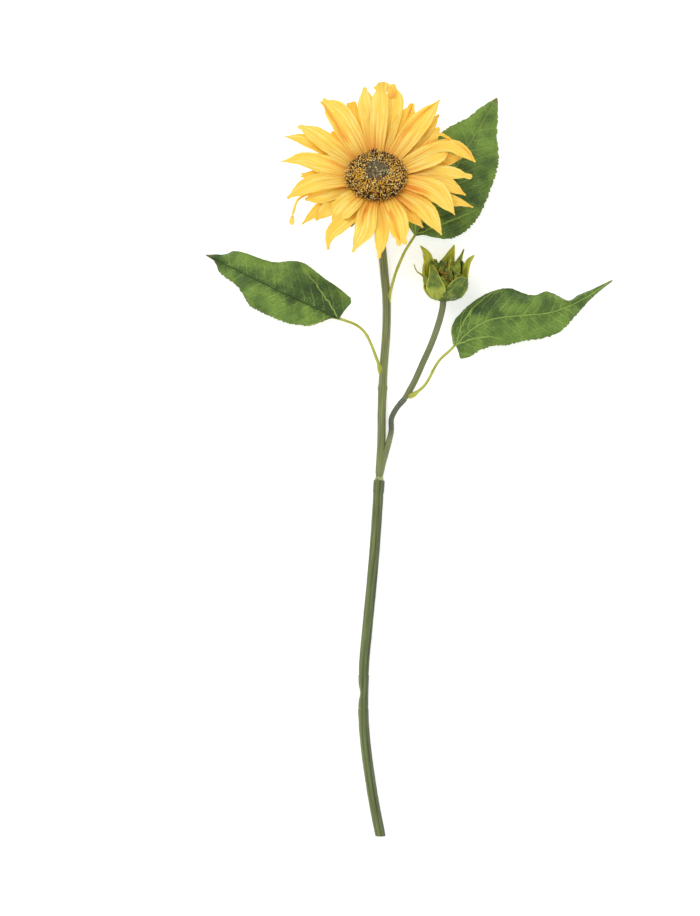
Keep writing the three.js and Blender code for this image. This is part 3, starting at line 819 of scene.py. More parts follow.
class BloomSettings(bpy.types.PropertyGroup):
    petal_thickness: size("Petal thickness", 0.35, "Thickness of the petal cloth")
    pleat_width: size("Pleat width", 4.2, "Width of one pressed pleat where a petal is widest")
    pleat_depth: size("Pleat depth", 0.7, "Depth of the grooves between pleats near a petal's foot")
    disc_radius: size("Disc radius", 25.4, "Half the width of the bloom's dark middle")
    disc_height: size("Disc height", 15.5, "Height of the dark middle above its rim")
    florets: IntProperty(name="Florets", description="Stubs on the disc", default=3400, min=100)
    petal_foot: colour("Petal foot", "ffb748", "Orange dyed into the feet of the petals")
    petal_inner: colour("Petal inner part", "fec84a", "Golden inner third of a petal")
    petal_middle: colour("Petal middle", "fed24c", "Yellow of a petal's middle")
    # Painted highlight on the crests of the pleats.
    petal_painted_highlight: colour("Petal highlight", "fce180", "Pale rubbed crests of the pleats")
    petal_tip: colour("Petal tip", "fcc942", "Deeper yellow at the tips")
    # Dye in the creases near the foot, and painted shade in the creases and deep folds.
    petal_crease_dye_and_shade: colour("Petal crease", "ee8c26", "Dye that has run into the creases")
    sepal_light: colour("Calyx light", "8da542", "Lighter green of the calyx")
    sepal_dark: colour("Calyx shade", "4a6030", "Deeper green of the calyx")


HEAD = Matrix.Translation(Vector((-30.2, 256.2, 38)) * MM) @ Matrix.Rotation(math.radians(-18), 4, "X")
LAYERS = {"back": (2.1, 0.16), "middle": (3.9, 0.2), "front": (5.7, 0.24)}  # foot's height, slope
CURL_STARTS = 0.78  # share of a petal's length
DISC_OVAL = 0.87  # the disc is pressed out of round
DISC_RIM = 8.5  # height of its rim in millimetres
GOLDEN_ANGLE = 180 * (3 - math.sqrt(5))  # degrees from one floret to the next
TUFT_STUBS = 14
HEAD_SEPALS = 11
HEAD_CUP_DEPTH = 18  # millimetres


def on_head(out, turn, rise):
    """A place on the bloom: millimetres out, degrees round and millimetres up."""
    angle = math.radians(turn)
    return HEAD @ (Vector((out * math.cos(angle), out * math.sin(angle), rise)) * MM)


class Petal(NamedTuple):
    """One petal. Its path is (degrees, millimetres) round and out from the bloom's axis."""
    layer: str
    path: tuple
    width: float
    belly: float = 0.5  # share of its length where it is widest
    blunt: float = 1.8  # higher for a rounder end
    end: float = 1.4  # width of its end in millimetres
    fork: float = 0.0  # depth of a notch in its end
    foot: float = 0.6  # width of its foot as a share of its width
    arch: float = 2.0  # how far its middle is lifted
    droop: float = 0.0  # how far its end hangs
    cup: float = 1.0  # how far its edges are lifted above its midline
    twist: float = 0.0  # degrees turned about its midline by its end
    curl: float = 0.0  # degrees that its end curls up, or down when negative
    crease: tuple = ()  # (across, start, stop) of a deep fold along it
    tone: float = 0.0  # from -1 for a paler petal to 1 for one painted darker, the back petals as painted shade under the front ones


PETALS = [
    Petal("front", ((172, 22), (171, 50), (171, 66), (175, 88)), 19.5, 0.42, 1.7, cup=1.5, twist=-8,
          tone=-0.2),
    Petal("middle", ((158, 22), (153.3, 58), (154.8, 76), (158.5, 91)), 13.5, 0.55, 2.2, curl=15, tone=0.2),
    Petal("front", ((148, 22), (148, 60), (148.3, 85.5)), 18.5, 0.5, 2.2, 5, arch=3, curl=-25),
    Petal("front", ((123, 22), (123, 50), (122.5, 62), (124, 75), (126.3, 87)), 23.5, 0.5, 2.8, 7, fork=2.2,
          crease=(-0.5, 0.3, 0.95), arch=4, tone=-0.3),
    Petal("back", ((134, 22), (134, 45), (133.5, 60)), 14, 0.65, 3, 8, tone=0.3),
    Petal("back", ((110, 22), (110.5, 50), (108.3, 77.5)), 16, 0.6, 4, 10, fork=2, tone=0.8),
    Petal("front", ((99, 22), (98.5, 60), (97.8, 84)), 17, 0.5, 3.6, 4, cup=-1, tone=-0.6),
    Petal("front", ((88, 22), (88, 60), (87, 87)), 16.5, 0.5, 4.5, 10.5, arch=3, curl=25, tone=-0.4),
    Petal("front", ((79.5, 75), (81.5, 81), (86.5, 83.3), (92, 82)), 7.5, 0.5, 3, 3, foot=0.8, arch=2,
          twist=35, tone=0.1),
    Petal("middle", ((78, 22), (77, 60), (78, 76), (80.5, 89)), 19, 0.6, 3, 6, cup=2),
    Petal("middle", ((64, 22), (63.5, 60), (64.3, 76)), 18, 0.62, 2.8, 6, cup=2, curl=30,
          crease=(0.1, 0.7, 1.0), tone=0.1),
    Petal("front", ((50, 22), (50.5, 60), (50, 90)), 20.5, 0.5, 1.9, 2, arch=3,
          crease=(-0.5, 0.35, 0.9)),
    Petal("middle", ((43, 22), (44, 60), (45.2, 81)), 14.5, 0.6, 2.2, 3, tone=0.2),
    Petal("middle", ((35, 22), (36.5, 55), (38, 72.5)), 17, 0.65, 3, 4, cup=-1, arch=3, tone=0.1),
    Petal("front", ((28, 22), (25, 53), (23.3, 63.3), (19.3, 72.7), (11.6, 81.5), (4.5, 89.5)), 12.5, 0.7,
          2.2, 2, foot=0.35, arch=5, cup=-3, twist=15, crease=(-0.45, 0.72, 0.95), tone=0.2),
    Petal("front", ((31, 52), (32.2, 60), (31.3, 67), (26.5, 71.3), (22, 77)), 3.4, 0.5, 4, 2, foot=0.7,
          arch=5, twist=40, tone=0.3),
    Petal("front", ((19, 22), (18, 50), (20, 71.5)), 22, 0.6, 2.8, 5, arch=3, curl=-25, tone=-0.3),
    Petal("back", ((13, 22), (13, 60), (11.5, 79)), 15.5, 0.6, 2.2, 2, tone=0.8),
    Petal("middle", ((2, 22), (0.5, 60), (-3.5, 86.5)), 13.5, 0.5, 2.8, 5.5, tone=-0.1),
    Petal("middle", ((-8, 22), (-9.5, 60), (-16, 83.5)), 16, 0.55, 1.8, 2, tone=0.3),
    Petal("front", ((-14, 22), (-16, 35), (-20.5, 55), (-27.5, 70), (-32.5, 83)), 19.5, 0.5, 1.8, 1.5,
          arch=4, crease=(0.55, 0.1, 0.5), tone=-0.1),
    Petal("back", ((-20, 22), (-22, 60), (-21.3, 93.5)), 14, 0.6, 1.5, tone=0.3),
    Petal("middle", ((-38, 22), (-39.5, 50), (-42.5, 64), (-47, 85)), 18, 0.55, 1.7, arch=3, tone=0.1),
    Petal("back", ((-52, 22), (-52, 50), (-51.5, 66.5)), 14, 0.55, 1.8, 2, crease=(-0.3, 0.2, 0.6),
          tone=0.5),
    Petal("front", ((-68, 22), (-70, 50), (-71.5, 62), (-73, 78.5)), 20, 0.5, 2.5, 10, fork=4,
          crease=(0.25, 0.3, 0.9), arch=4, curl=-15),
    Petal("middle", ((-85, 22), (-86.3, 60), (-89, 85.5)), 13.5, 0.5, 1.9, 3, cup=-1.5, arch=2.5, tone=0.1),
    Petal("front", ((-103, 22), (-103, 40), (-101.5, 60), (-104.5, 75), (-105.5, 83.5)), 19.5, 0.5, 1.7, 3,
          arch=3, crease=(0.3, 0.1, 0.5), tone=-0.5),
    Petal("middle", ((-117, 22), (-117.5, 40), (-122.5, 61), (-123.8, 76), (-120, 89.5)), 15.5, 0.5, 2, 3,
          cup=2, twist=15, tone=0.1),
    Petal("front", ((-131, 22), (-130.5, 50), (-130, 62.5)), 21.5, 0.55, 3, 8, arch=4, droop=3, curl=-55,
          tone=-0.2),
    Petal("back", ((-147, 22), (-146.5, 60), (-143.5, 85)), 12, 0.6, 1.7, 2, tone=0.5),
    Petal("middle", ((-144, 22), (-142.5, 50), (-140, 73)), 14, 0.6, 2, 3, tone=0.3),
    Petal("middle", ((-157, 22), (-157, 60), (-157.5, 71.5)), 17, 0.6, 2.4, 4, curl=20),
    Petal("front", ((-170, 22), (-168.5, 50), (-166.5, 62), (-163, 76), (-160.8, 86.5)), 17, 0.5, 2.3, 3,
          cup=2, arch=3, tone=-0.1),
    Petal("middle", ((-163, 61), (-161.3, 67), (-159.2, 76), (-153.6, 84.3), (-149.3, 89.5)), 2.2, 0.5,
          6, 2, foot=0.8, arch=1, twist=30, tone=0.3),
    Petal("middle", ((-150, 88.5), (-147.5, 91.5), (-145.2, 94.5)), 4.8, 0.6, 3, 3, foot=0.4, arch=0.4,
          tone=0.2),
    Petal("middle", ((-177, 22), (-176.5, 55), (-178.5, 71)), 14, 0.6, 2.2, 4, fork=3, tone=0.3),
]


def petal_place(petal, seed, settings):
    """How a petal's sheet lies: pleated lengthwise, lifted, folded and curled."""
    base, slope = LAYERS[petal.layer]
    flat = [(out * math.cos(math.radians(turn)), out * math.sin(math.radians(turn)), 0)
            for turn, out in petal.path]
    route = Route(flat)
    length = route.length / MM
    pleats = max(round(petal.width / (settings.pleat_width / MM)), 2)
    chance = random.Random(seed)
    ripple = chance.uniform(0.6, 1.3)
    shift = chance.uniform(-0.5, 0.5)
    lift = chance.uniform(-0.5, 0.5)

    def half_width(u):
        if u < petal.belly:
            share = mix(petal.foot, 1, math.sin(math.pi / 2 * u / petal.belly))
        else:
            share = 1 - ((u - petal.belly) / (1 - petal.belly)) ** petal.blunt
        return max(petal.width * share, petal.end * smooth(petal.belly, 1, u)) / 2

    def place(u, v):
        fray = 0.5 * wobble(v * 5, seed, 3)
        cut = petal.end / 2 * (1 - math.sqrt(max(1 - v * v, 0)))
        cut += petal.fork * (1 - abs(v)) ** 1.3 + fray * petal.end / 4
        along = u * length - cut * smooth(0.7, 1, u)
        share = along / length
        across = v * half_width(u)
        across += 0.35 * abs(v) ** 5 * wobble(along * 0.35, v, seed)

        # Uneven pleats run the whole length, deepest at the foot, with soft folds over them.
        uneven = 0.9 * wobble(v * 1.6, seed * 2.7, u * 0.8)
        ridge = abs(math.cos(math.pi * (v * pleats / 2 + shift + uneven))) ** 0.7
        ridge *= mix(1, smooth(-0.35, 0.25, wobble(v * 4, u * 2.5, seed + 40)), 0.6)
        pressed = settings.pleat_depth / MM * mix(1.0, 0.34, smooth(0.05, 0.55, u))
        rise = base + lift + pressed * (ridge - 0.6) * min(half_width(u) / 4, 1)
        rise += petal.arch * math.sin(math.pi * min(share, 1)) - petal.droop * share ** 3
        rise += petal.cup * v * v * math.sin(math.pi * min(u * 0.9 + 0.05, 1)) * petal.width / 14
        fold = wobble(along * 0.045 + seed * 3.1, across * 0.12, seed)
        rise += 2.0 * ripple * fold * smooth(0.1, 0.5, u)
        rise += 0.7 * wobble(along * 0.16, across * 0.3, seed + 9) * smooth(0.15, 0.5, u)
        edge = wobble(along * 0.09, math.copysign(2, v), seed * 1.7)
        rise += 2.2 * ripple * edge * abs(v) ** 2.5 * smooth(0.15, 0.6, u)
        depth = 0.0
        if petal.crease:
            at, start, stop = petal.crease
            lengthwise = smooth(start - 0.1, start + 0.1, u) * (1 - smooth(stop - 0.1, stop + 0.1, u))
            depth = bump(v, at, 0.16) * lengthwise
            rise -= 2.2 * depth

        # The end curls round an arc, and the whole petal twists towards its end.
        behind = 0.0
        if petal.curl and share > CURL_STARTS:
            radius = (1 - CURL_STARTS) * length / math.radians(abs(petal.curl))
            angle = (share - CURL_STARTS) * length / radius
            behind = (share - CURL_STARTS) * length - radius * math.sin(angle)
            rise += math.copysign(radius * (1 - math.cos(angle)), petal.curl)
        turned = math.radians(petal.twist) * smooth(0.2, 1, u)
        rise += across * math.sin(turned)
        across *= math.cos(turned)
        point, forward, right, _ = route.frame(share)
        point = point - forward * (behind * MM) + right * (across * MM)
        out = point.length / MM
        point.z = (rise + slope * max(out - 24, 0)) * MM
        # The pattern's first number sinks along a deep fold, which the cloth paints with shade.
        return HEAD @ point, (ridge - 1.6 * depth, u, petal.tone), (v * petal.width / 2, along, seed * 17.3)

    return place


def petal_cloth(settings):
    """Polyester cloth dyed by hand: orange bleeding out of the feet, golden yellow beyond, orange in the
    creases that is partly dye and partly painted shade, and a painted highlight on the crests of the
    pleats. Light comes through it a little."""
    look = Finish("Dyed polyester petal cloth", 0.6, Sheen_Weight=0.1, Sheen_Roughness=0.4,
                  Subsurface_Weight=0.15, Subsurface_Radius=(1.0, 0.7, 0.2), Subsurface_Scale=3 * MM)
    add = look.add
    ridge, share, tone = look.parts(PATTERN)

    # Dye runs along the cloth in streaks about 0.7 mm wide and 15 mm long, over a wider wash.
    streak = look.streaks((1.1, 0.07, 1.0))
    wash = look.streaks((0.16, 0.035, 1.0), 2.0)
    along = look.shifted(streak, 0.2, look.shifted(wash, 0.35, share))
    ground = add("ValToRGB", [along], stops=(
        (0.02, settings.petal_foot), (1.0, settings.petal_tip), (0.2, settings.petal_inner),
        (0.5, settings.petal_middle), (0.8, settings.petal_middle)))

    # The crests get a painted highlight beyond the foot, most of all on the palest petals.
    rubbed = look.shifted(streak, 2.2, add("MapRange", [ridge, 0.55, 1.0, 0.0, 0.75]))
    toned = add("Math", [tone, -0.3, rubbed], operation="MULTIPLY_ADD")
    beyond = add("MapRange", [share, 0.1, 0.4])
    worn = add("Math", [toned, beyond], operation="MULTIPLY", use_clamp=True)
    pale = add("Mix", {0: worn, 6: ground, 7: settings.petal_painted_highlight}, data_type="RGBA")

    # Creases: dye and painted shade, strong near the foot, thin and weak further out; the deep folds get
    # painted shade.
    depth = add("MapRange", [ridge, 0.55, 0.1])
    reach = add("MapRange", [share, 0.1, 0.55, 1.0, 0.22])
    run = add("Math", [depth, reach], operation="MULTIPLY")
    fold = add("MapRange", [ridge, 0.0, -1.2, 0.0, 0.75])
    most = add("Math", [run, fold], operation="MAXIMUM")
    dyed = add("Mix", {0: most, 6: pale, 7: settings.petal_crease_dye_and_shade}, data_type="RGBA")
    # Petals with a higher tone are painted darker: painted shade where they lie under others.
    darker = add("MapRange", [tone, 0.0, 1.0, 0.0, 0.4])
    final = add("Mix", {0: darker, 6: dyed, 7: linear("f2a42c")}, data_type="RGBA")
    # The threads of the weave stand up along the same streaks.
    return look.dress(final, streak, 0.6, 0.35 * MM)


class SUNFLOWER_OT_petals(bpy.types.Operator):
    """Makes the three layers of pleated petals"""
    bl_idname = "sunflower.petals"
    bl_label = "Petals"

    def execute(self, context):
        settings = context.scene.sunflower_bloom
        cloth = petal_cloth(settings)
        for layer in LAYERS:
            bm = start_mesh()
            for seed, petal in enumerate(PETALS):
                if petal.layer == layer:
                    sheet(bm, columns=36, rows=44, place=petal_place(petal, seed, settings))
            thicken(bm, settings.petal_thickness)
            finish(bm, f"petals_{layer}_cloth", cloth, ["petals_" + layer])
        return {"FINISHED"}


def calyx_cloth(settings):
    """Green polyester cloth and its moulded cup, blotched, with pale lines along it."""
    look = Finish("Calyx cloth, green", 0.62, Sheen_Weight=0.1)
    streak = look.streaks((0.8, 0.09, 1.0))
    tint = look.add("ValToRGB", [streak],
                    stops=((0.34, settings.sepal_dark), (0.68, settings.sepal_light)))
    return look.dress(tint, streak, 0.5, 0.25 * MM)


class SUNFLOWER_OT_head_calyx(bpy.types.Operator):
    """Makes the ribbed cup behind the bloom and the pointed green sepals round it"""
    bl_idname = "sunflower.head_calyx"
    bl_label = "Calyx of the bloom"

    def execute(self, context):
        cloth = calyx_cloth(context.scene.sunflower_bloom)

        def sepal(k):
            turn = 15 + 360 * k / HEAD_SEPALS

            def place(u, v):
                out = 14 + 40 * u
                half = 8 * (1 - u ** 1.8) * mix(0.75, 1, smooth(0, 0.35, u)) + 0.4
                across = v * half
                rise = 0.8 + 0.1 * max(out - 24, 0) + 0.5 * math.sin(5 * u + k)
                rise -= 0.1 * abs(across) + 0.7 * bump(across, 0, 0.9)
                point = on_head(math.hypot(out, across), turn + math.degrees(math.atan2(across, out)), rise)
                return point, (v, u, 0), (across, out, k * 9.1)

            return place

        bm = start_mesh()
        for k in range(HEAD_SEPALS):
            sheet(bm, columns=14, rows=30, place=sepal(k))
        thicken(bm, 0.4 * MM)
        finish(bm, "head_sepals_cloth", cloth, ["head_sepals"])

        shape = profile([(0, 5.2), (0.25, 9), (0.6, 16), (0.9, 22.5), (1, 23.6)])
        fluted = fluting(22)

        def cup_radius(t, angle):
            return (shape(t) + 0.5 * (fluted(t, angle) - 0.5)) * MM

        bm = start_mesh()
        tube(bm, straight(HEAD, (0, 0, -HEAD_CUP_DEPTH), (0, 0, 0.2)), cup_radius, sides=132, rings=30)
        weave = bm.verts.layers.float_vector[WEAVE]
        for vert in bm.verts:
            x, y, along = vert[weave]
            vert[weave] = (16 * x, along, 13 * y)  # its streaks run up it, as they do on the sepals
        finish(bm, "head_cup_moulding", cloth, ["head_cup"])
        return {"FINISHED"}


FLORETS = {  # colour, roughness, and how common it is at the middle, half-way out and at the rim
    "dark brown": ("4a3320", 0.8, (0.05, 0.5, 0.8)),
    "brown": ("8f6c42", 0.8, (0.2, 0.3, 0.22)),
    "grey-green": ("a59c7a", 0.85, (0.75, 0.2, 0.0)),
    "rust": ("b0662c", 0.75, (0.0, 0.14, 0.06)),
}
FLECKS = {
    "mustard": ("fbc244", 0.6, (0.3, 0.78, 0.62)),
    # Pale flecks, partly pale fibres and partly painted highlights on the flock.
    "straw": ("fff0a8", 0.55, (0.7, 0.22, 0.38)),
}


def dealt(choices, out, chance):
    """Picks a colour for a stub that is this share of the way out."""
    weights = [profile([(0.25, near), (0.6, half), (1, far)])(out) for _, _, (near, half, far) in
               choices.values()]
    return chance.choices(list(choices), [max(weight, 0) for weight in weights])[0]


def disc_place(out, turn, settings):
    """A place on the dome of the disc, out being a share of its radius."""
    radius = settings.disc_radius / MM
    angle = math.radians(turn)
    x = radius * out * math.cos(angle) - 0.8
    y = radius * out * math.sin(angle) * DISC_OVAL - 1.6
    rise = DISC_RIM + settings.disc_height / MM * (1 - out ** 2.3) ** 0.8
    return HEAD @ (Vector((x, y, rise)) * MM)


def stub(bm, place, axis, width, length, sides=5, point=0.35):
    """Adds one tapering stub."""
    turn = axis.to_track_quat("Z", "Y").to_matrix().to_4x4()
    matrix = Matrix.Translation(place + axis * (length / 2)) @ turn
    bmesh.ops.create_cone(bm, cap_ends=True, segments=sides, radius1=width / 2, radius2=width / 2 * point,
                          depth=length, matrix=matrix)


class SUNFLOWER_OT_disc(bpy.types.Operator):
    """Makes the foam dome, its flocked florets and the pale flecks among them"""
    bl_idname = "sunflower.disc"
    bl_label = "Disc"

    def execute(self, context):
        settings = context.scene.sunflower_bloom
        chance = random.Random(5)
        dome = start_mesh()

        def place(u, v):
            out, turn = 1.0 - 0.999 * u, v * 180
            point = disc_place(min(out, 1.0), turn, settings)
            return point, (0, out, 0), (out, v, 0)

        verts = sheet(dome, columns=72, rows=24, place=place)
        bmesh.ops.remove_doubles(dome, verts=verts, dist=0.05 * MM)
        rim = [edge for edge in dome.edges if edge.is_boundary]
        below = bmesh.ops.extrude_edge_only(dome, edges=rim)
        lowered = only(bmesh.types.BMVert, below["geom"])
        bmesh.ops.translate(dome, vec=HEAD.to_3x3() @ Vector((0, 0, -6 * MM)), verts=lowered)
        bmesh.ops.holes_fill(dome, edges=[e for e in dome.edges if e.is_boundary], sides=0)
        # Short dark fibres stand in glue on the foam, so it is rough and takes no shine.
        foam = Finish("Flocked foam, dark", 0.9)
        grain, tint = foam.specks(900.0, (0.35, "3a2818"), (0.7, "6a4e34"))
        finish(dome, "disc_foam", foam.dress(tint, grain, depth=0.6 * MM), ["head_disc"])

        piles = {name: start_mesh() for name in (*FLORETS, *FLECKS)}
        middle = HEAD.translation
        up = HEAD.to_3x3() @ UP
        for k in range(settings.florets):
            out = math.sqrt((k + 0.5) / settings.florets)
            turn = k * GOLDEN_ANGLE + chance.uniform(-4, 4)
            at = disc_place(out, turn, settings)
            side = (at - middle) - up * (at - middle).dot(up)
            axis = up.lerp(side.normalized() if side.length > MM else up, 0.75 * out ** 2)
            wild = 0.25 + 0.35 * out
            axis += Vector([chance.uniform(-wild, wild) for _ in range(3)])
            axis.normalize()
            length = mix(1.3, 3.0, smooth(0.35, 0.8, out)) * chance.uniform(0.7, 1.25 + 0.5 * out ** 8) * MM
            width = mix(0.8, 1.0, out) * MM
            stub(piles[dealt(FLORETS, out, chance)], at, axis, width, length)
            often = 0.05 + 0.6 * smooth(0.32, 0.6, out) * (1 - 0.5 * smooth(0.8, 1, out))
            often *= 1 - 0.55 * smooth(-0.1, 0.9, math.sin(math.radians(turn)))  # fewest at the top, as painted shade
            if chance.random() < often:
                tip = at + axis * (length * chance.uniform(0.75, 1.0))
                lean = (axis + Vector([chance.uniform(-1.2, 1.2) for _ in range(3)])).normalized()
                reach = chance.uniform(0.7, 1.9) * MM
                fleck = dealt(FLECKS, out, chance)
                stub(piles[fleck], tip, lean, chance.uniform(0.6, 1.0) * MM, reach, 4, 0.6)
        # A tuft of longer stubs was pushed over the top of the rim.
        for _ in range(TUFT_STUBS):
            turn = chance.uniform(90, 101)
            at = disc_place(chance.uniform(0.93, 1.0), turn, settings)
            lean = up * chance.uniform(0.3, 1.0) + HEAD.to_3x3() @ Vector((chance.uniform(-0.5, 0.5), 1, 0))
            stub(piles["dark brown"], at, lean.normalized(), 1.1 * MM, chance.uniform(3, 6.5) * MM)
        # Chopped rayon flock. Each stub has one plain colour, the one that it was dealt.
        for name, (code, roughness, _) in {**FLORETS, **FLECKS}.items():
            flock = Finish("Flock, " + name, roughness).dress(linear(code))
            finish(piles[name], "florets_" + name.replace(" ", "_"), flock, sharp=70)
        return {"FINISHED"}


# ---- bud ----

class BudSettings(bpy.types.PropertyGroup):
    sepal_thickness: size("Sepal thickness", 0.45, "Thickness of the bud's cloth")
    # The bud's greens are painted light: light where a sepal is lit, dark where it is in shade.
    light: colour("Bud light", "c4c23a", "Yellow-green of the lit sepals")
    middle: colour("Bud green", "8f9f3a", "Middle green of the sepals")
    dark: colour("Bud shade", "4d6322", "Deep green of the sepals")


BUD_AXIS = Vector((0, 1, 0.02)).normalized()
BUD_DOWN = (-UP - BUD_AXIS * -UP.dot(BUD_AXIS)).normalized()
BUD = Matrix.Translation(Vector((31.3, 145.9, 21.5)) * MM) @ Matrix(
    (BUD_DOWN.cross(BUD_AXIS), BUD_DOWN, BUD_AXIS)).transposed().to_4x4()


class Sepal(NamedTuple):
    """A sepal, or a strip inside the bud. Its midline is (across, along the bud, up) in millimetres
    from the bud's foot, and facing is the way its outer face looks, in degrees round the bud."""
    midline: tuple
    widths: tuple
    facing: float
    tones: tuple  # painted light and shade at its foot, its end and its edges, from shaded 0 to lit 1
    bend: float = 20.0  # radius that it is bent to across its width
    crumple: float = 0.6


SEPALS = [
    Sepal(((-3, 1.5, 5), (-6.5, 5, 14), (-8.5, 12, 20), (-9.5, 20, 19.5), (-11.4, 31.5, 14)),
          ((0, 6), (0.2, 14), (0.42, 18.5), (0.6, 13.5), (0.8, 8), (0.93, 5), (1, 2.5)), -105,
          (0.66, 0.2, 0.95), 18, 1.0),
    Sepal(((2.5, 1, 5), (6.5, 3.6, 13.5), (11.5, 8.8, 18.5), (17, 14.6, 17), (21.3, 17.6, 11)),
          ((0, 7), (0.25, 14), (0.5, 17), (0.8, 14), (1, 5)), -72, (0.15, 0.1, 0.6), 18, 1.3),
    Sepal(((5, 2, 0), (13, 5, 2), (18.5, 11, 3), (20, 20, 3), (21, 30, 2), (23.5, 37, 1.5), (28, 42, 1)),
          ((0, 5), (0.3, 12), (0.6, 13), (0.75, 12), (0.87, 9), (0.95, 4.5), (1, 1.5)), 25,
          (0.2, 0.8, 0.8), 14),
    Sepal(((-4, 2, -2), (-9, 6, -4), (-13, 14, -5), (-14.5, 24, -6), (-13.5, 36, -6), (-16, 44.5, -5),
           (-21, 50.7, -3)),
          ((0, 5), (0.15, 9), (0.4, 12.5), (0.62, 15), (0.76, 12), (0.9, 5.5), (1, 1)), 130,
          (0.5, 0.9, 0.9), 14, 1.4),
    Sepal(((-5, 2, 3), (-10.5, 8, 7), (-14.5, 17, 7), (-18.5, 22.5, 6), (-24.5, 27, 5), (-27, 33, 6)),
          ((0, 4), (0.3, 7.5), (0.5, 5.5), (0.64, 2.4), (0.8, 1.2), (1, 0.4)), -150,
          (0.75, 0.4, 0.8), 12, 0.3),
    Sepal(((1, 2, -5), (3, 8, -17), (3, 20, -20), (4, 32, -19), (7, 42, -15), (10.5, 52, -13)),
          ((0, 5), (0.2, 12), (0.5, 18), (0.68, 15), (0.8, 9), (0.9, 5.5), (1, 1)), 95,
          (0.2, 0.8, 0.85), 16, 1.3),
    Sepal(((-3, 2, -4), (-7, 7, -13), (-8.5, 20, -17), (-7, 39, -15)),
          ((0, 5), (0.3, 13), (0.6, 15), (0.9, 8), (1, 3.5)), 115, (0.4, 0.6, 0.8)),
    Sepal(((4, 2, -4), (11, 7, -12), (13, 20, -15), (14, 34, -13), (19.2, 48, -9)),
          ((0, 5), (0.3, 13), (0.6, 13), (0.75, 7.5), (0.86, 3.6), (1, 0.8)), 65, (0.0, 0.5, 0.6)),
    Sepal(((5, 2, -2), (13, 6, -8), (17, 16, -10), (17, 28, -10), (16.5, 37, -9)),
          ((0, 5), (0.3, 14), (0.6, 15), (0.85, 11), (1, 5)), 40, (0.0, 0.0, 0.3)),
]
STRIPS = [
    Sepal(((13, 37, -3), (12.4, 28, 6), (11.6, 18.5, 12)), ((0, 4), (0.5, 6), (1, 4)), -100,
          (0.5, 0.3, 0.8), 6),
    Sepal(((10.5, 27, 10.5), (13, 23.5, 13), (18, 21.5, 11)), ((0, 1.4), (0.5, 2), (1, 1.2)), -80,
          (0.3, 0.3, 0.7), 3),
    Sepal(((6.8, 38, -2), (5.4, 33, 4), (4.6, 27, 8)), ((0, 1.8), (0.5, 2.6), (1, 1.6)), -90,
          (0.8, 0.6, 0.9), 4),
    Sepal(((-0.5, 36, -4), (-1.5, 30, 5), (-3, 25.5, 9)), ((0, 3), (0.5, 4.6), (1, 3)), -95,
          (0.5, 0.35, 0.7), 5),
    Sepal(((6.2, 21, 13), (7.0, 18, 15), (7.6, 15.5, 15.5)), ((0, 1.6), (0.5, 2.2), (1, 1.6)), -90,
          (0.5, 0.6, 0.9), 4),
    Sepal(((11.2, 22.5, 14), (10, 19, 15.5), (8.8, 16.5, 15.5)), ((0, 1.4), (0.5, 2.0), (1, 1.4)), -80,
          (0.6, 0.7, 0.9), 4),
    Sepal(((-3.5, 20.5, 15), (0.5, 16, 16.5), (3, 12.5, 17)), ((0, 2), (0.5, 2.6), (1, 1.6)), -95,
          (0.5, 0.5, 0.8), 4),
]
STRIP_CRUMPLE = 1.5  # millimetres
LOOSE_STRIPS = 32
BOWL = ((1.5, 4), (3.2, 9), (5.6, 13.8), (9, 17.2), (13, 19.4), (16.5, 19))  # height, radius in millimetres
FILAMENTS = [  # from, to, and the radius of a twist of brown or pale yarn
    ((-3.4, 24.8, 16), (3.0, 24.2, 16), 0.55), ((2.6, 27.5, 12), (3.6, 25.5, 15), 0.45),
    ((2.4, 22.6, 16), (2.2, 18.8, 17), 0.5), ((-4, 26.6, 12), (-1, 25.8, 14), 0.4),
    ((-7.2, 28.6, 11), (-5.6, 26.2, 13), 0.4), ((3.6, 18.4, 17), (3, 15.4, 18), 0.4),
    ((7, 21.6, 14), (6.4, 18.6, 15.5), 0.4), ((5.6, 34, 6), (6.6, 32.4, 7), 0.4),
]


def bowl_sepals():
    """Six broad sepals that overlap into the bowl under the bud, with painted light on its left and painted
    shade on its right.
    """
    for k in range(6):
        angle = math.radians(60 * k - 90)
        midline = tuple((2 + out * math.cos(angle), along, -0.6 * out * math.sin(angle))
                        for along, out in BOWL)
        # Painted light: paler on the left, darker on the right.
        tone = 0.36 - 0.26 * math.cos(angle)
        yield Sepal(midline, ((0, 6), (0.3, 15), (0.7, 21), (0.9, 19), (1, 13)), 60 * k - 90,
                    (tone, tone, tone + 0.2), 19, 0.9)


def loose_strips():
    """Crumpled strips packed into the bud's mouth."""
    chance = random.Random(11)
    for _ in range(LOOSE_STRIPS):
        across, along = chance.uniform(-9, 12), chance.uniform(19, 33)
        up = 15 - 0.75 * max(along - 17, 0) - 0.035 * (across - 3) ** 2 + chance.uniform(-3, 1)
        lean, reach = chance.uniform(-0.7, 0.7), chance.uniform(3, 6)
        bow = chance.uniform(-1.5, 1.5)
        midline = ((across - lean * reach, along - reach, up - 2.5), (across + bow, along, up),
                   (across + lean * reach, along + reach, up - chance.uniform(2, 6)))
        wide = chance.uniform(2.6, 6.5)
        tone = chance.uniform(0.0, 0.45)
        yield Sepal(midline, ((0, 0.7 * wide), (0.5, wide), (1, 0.5 * wide)), chance.uniform(-130, -50),
                    (tone, chance.uniform(0.0, 0.5), tone + 0.25), chance.uniform(2.5, 6))


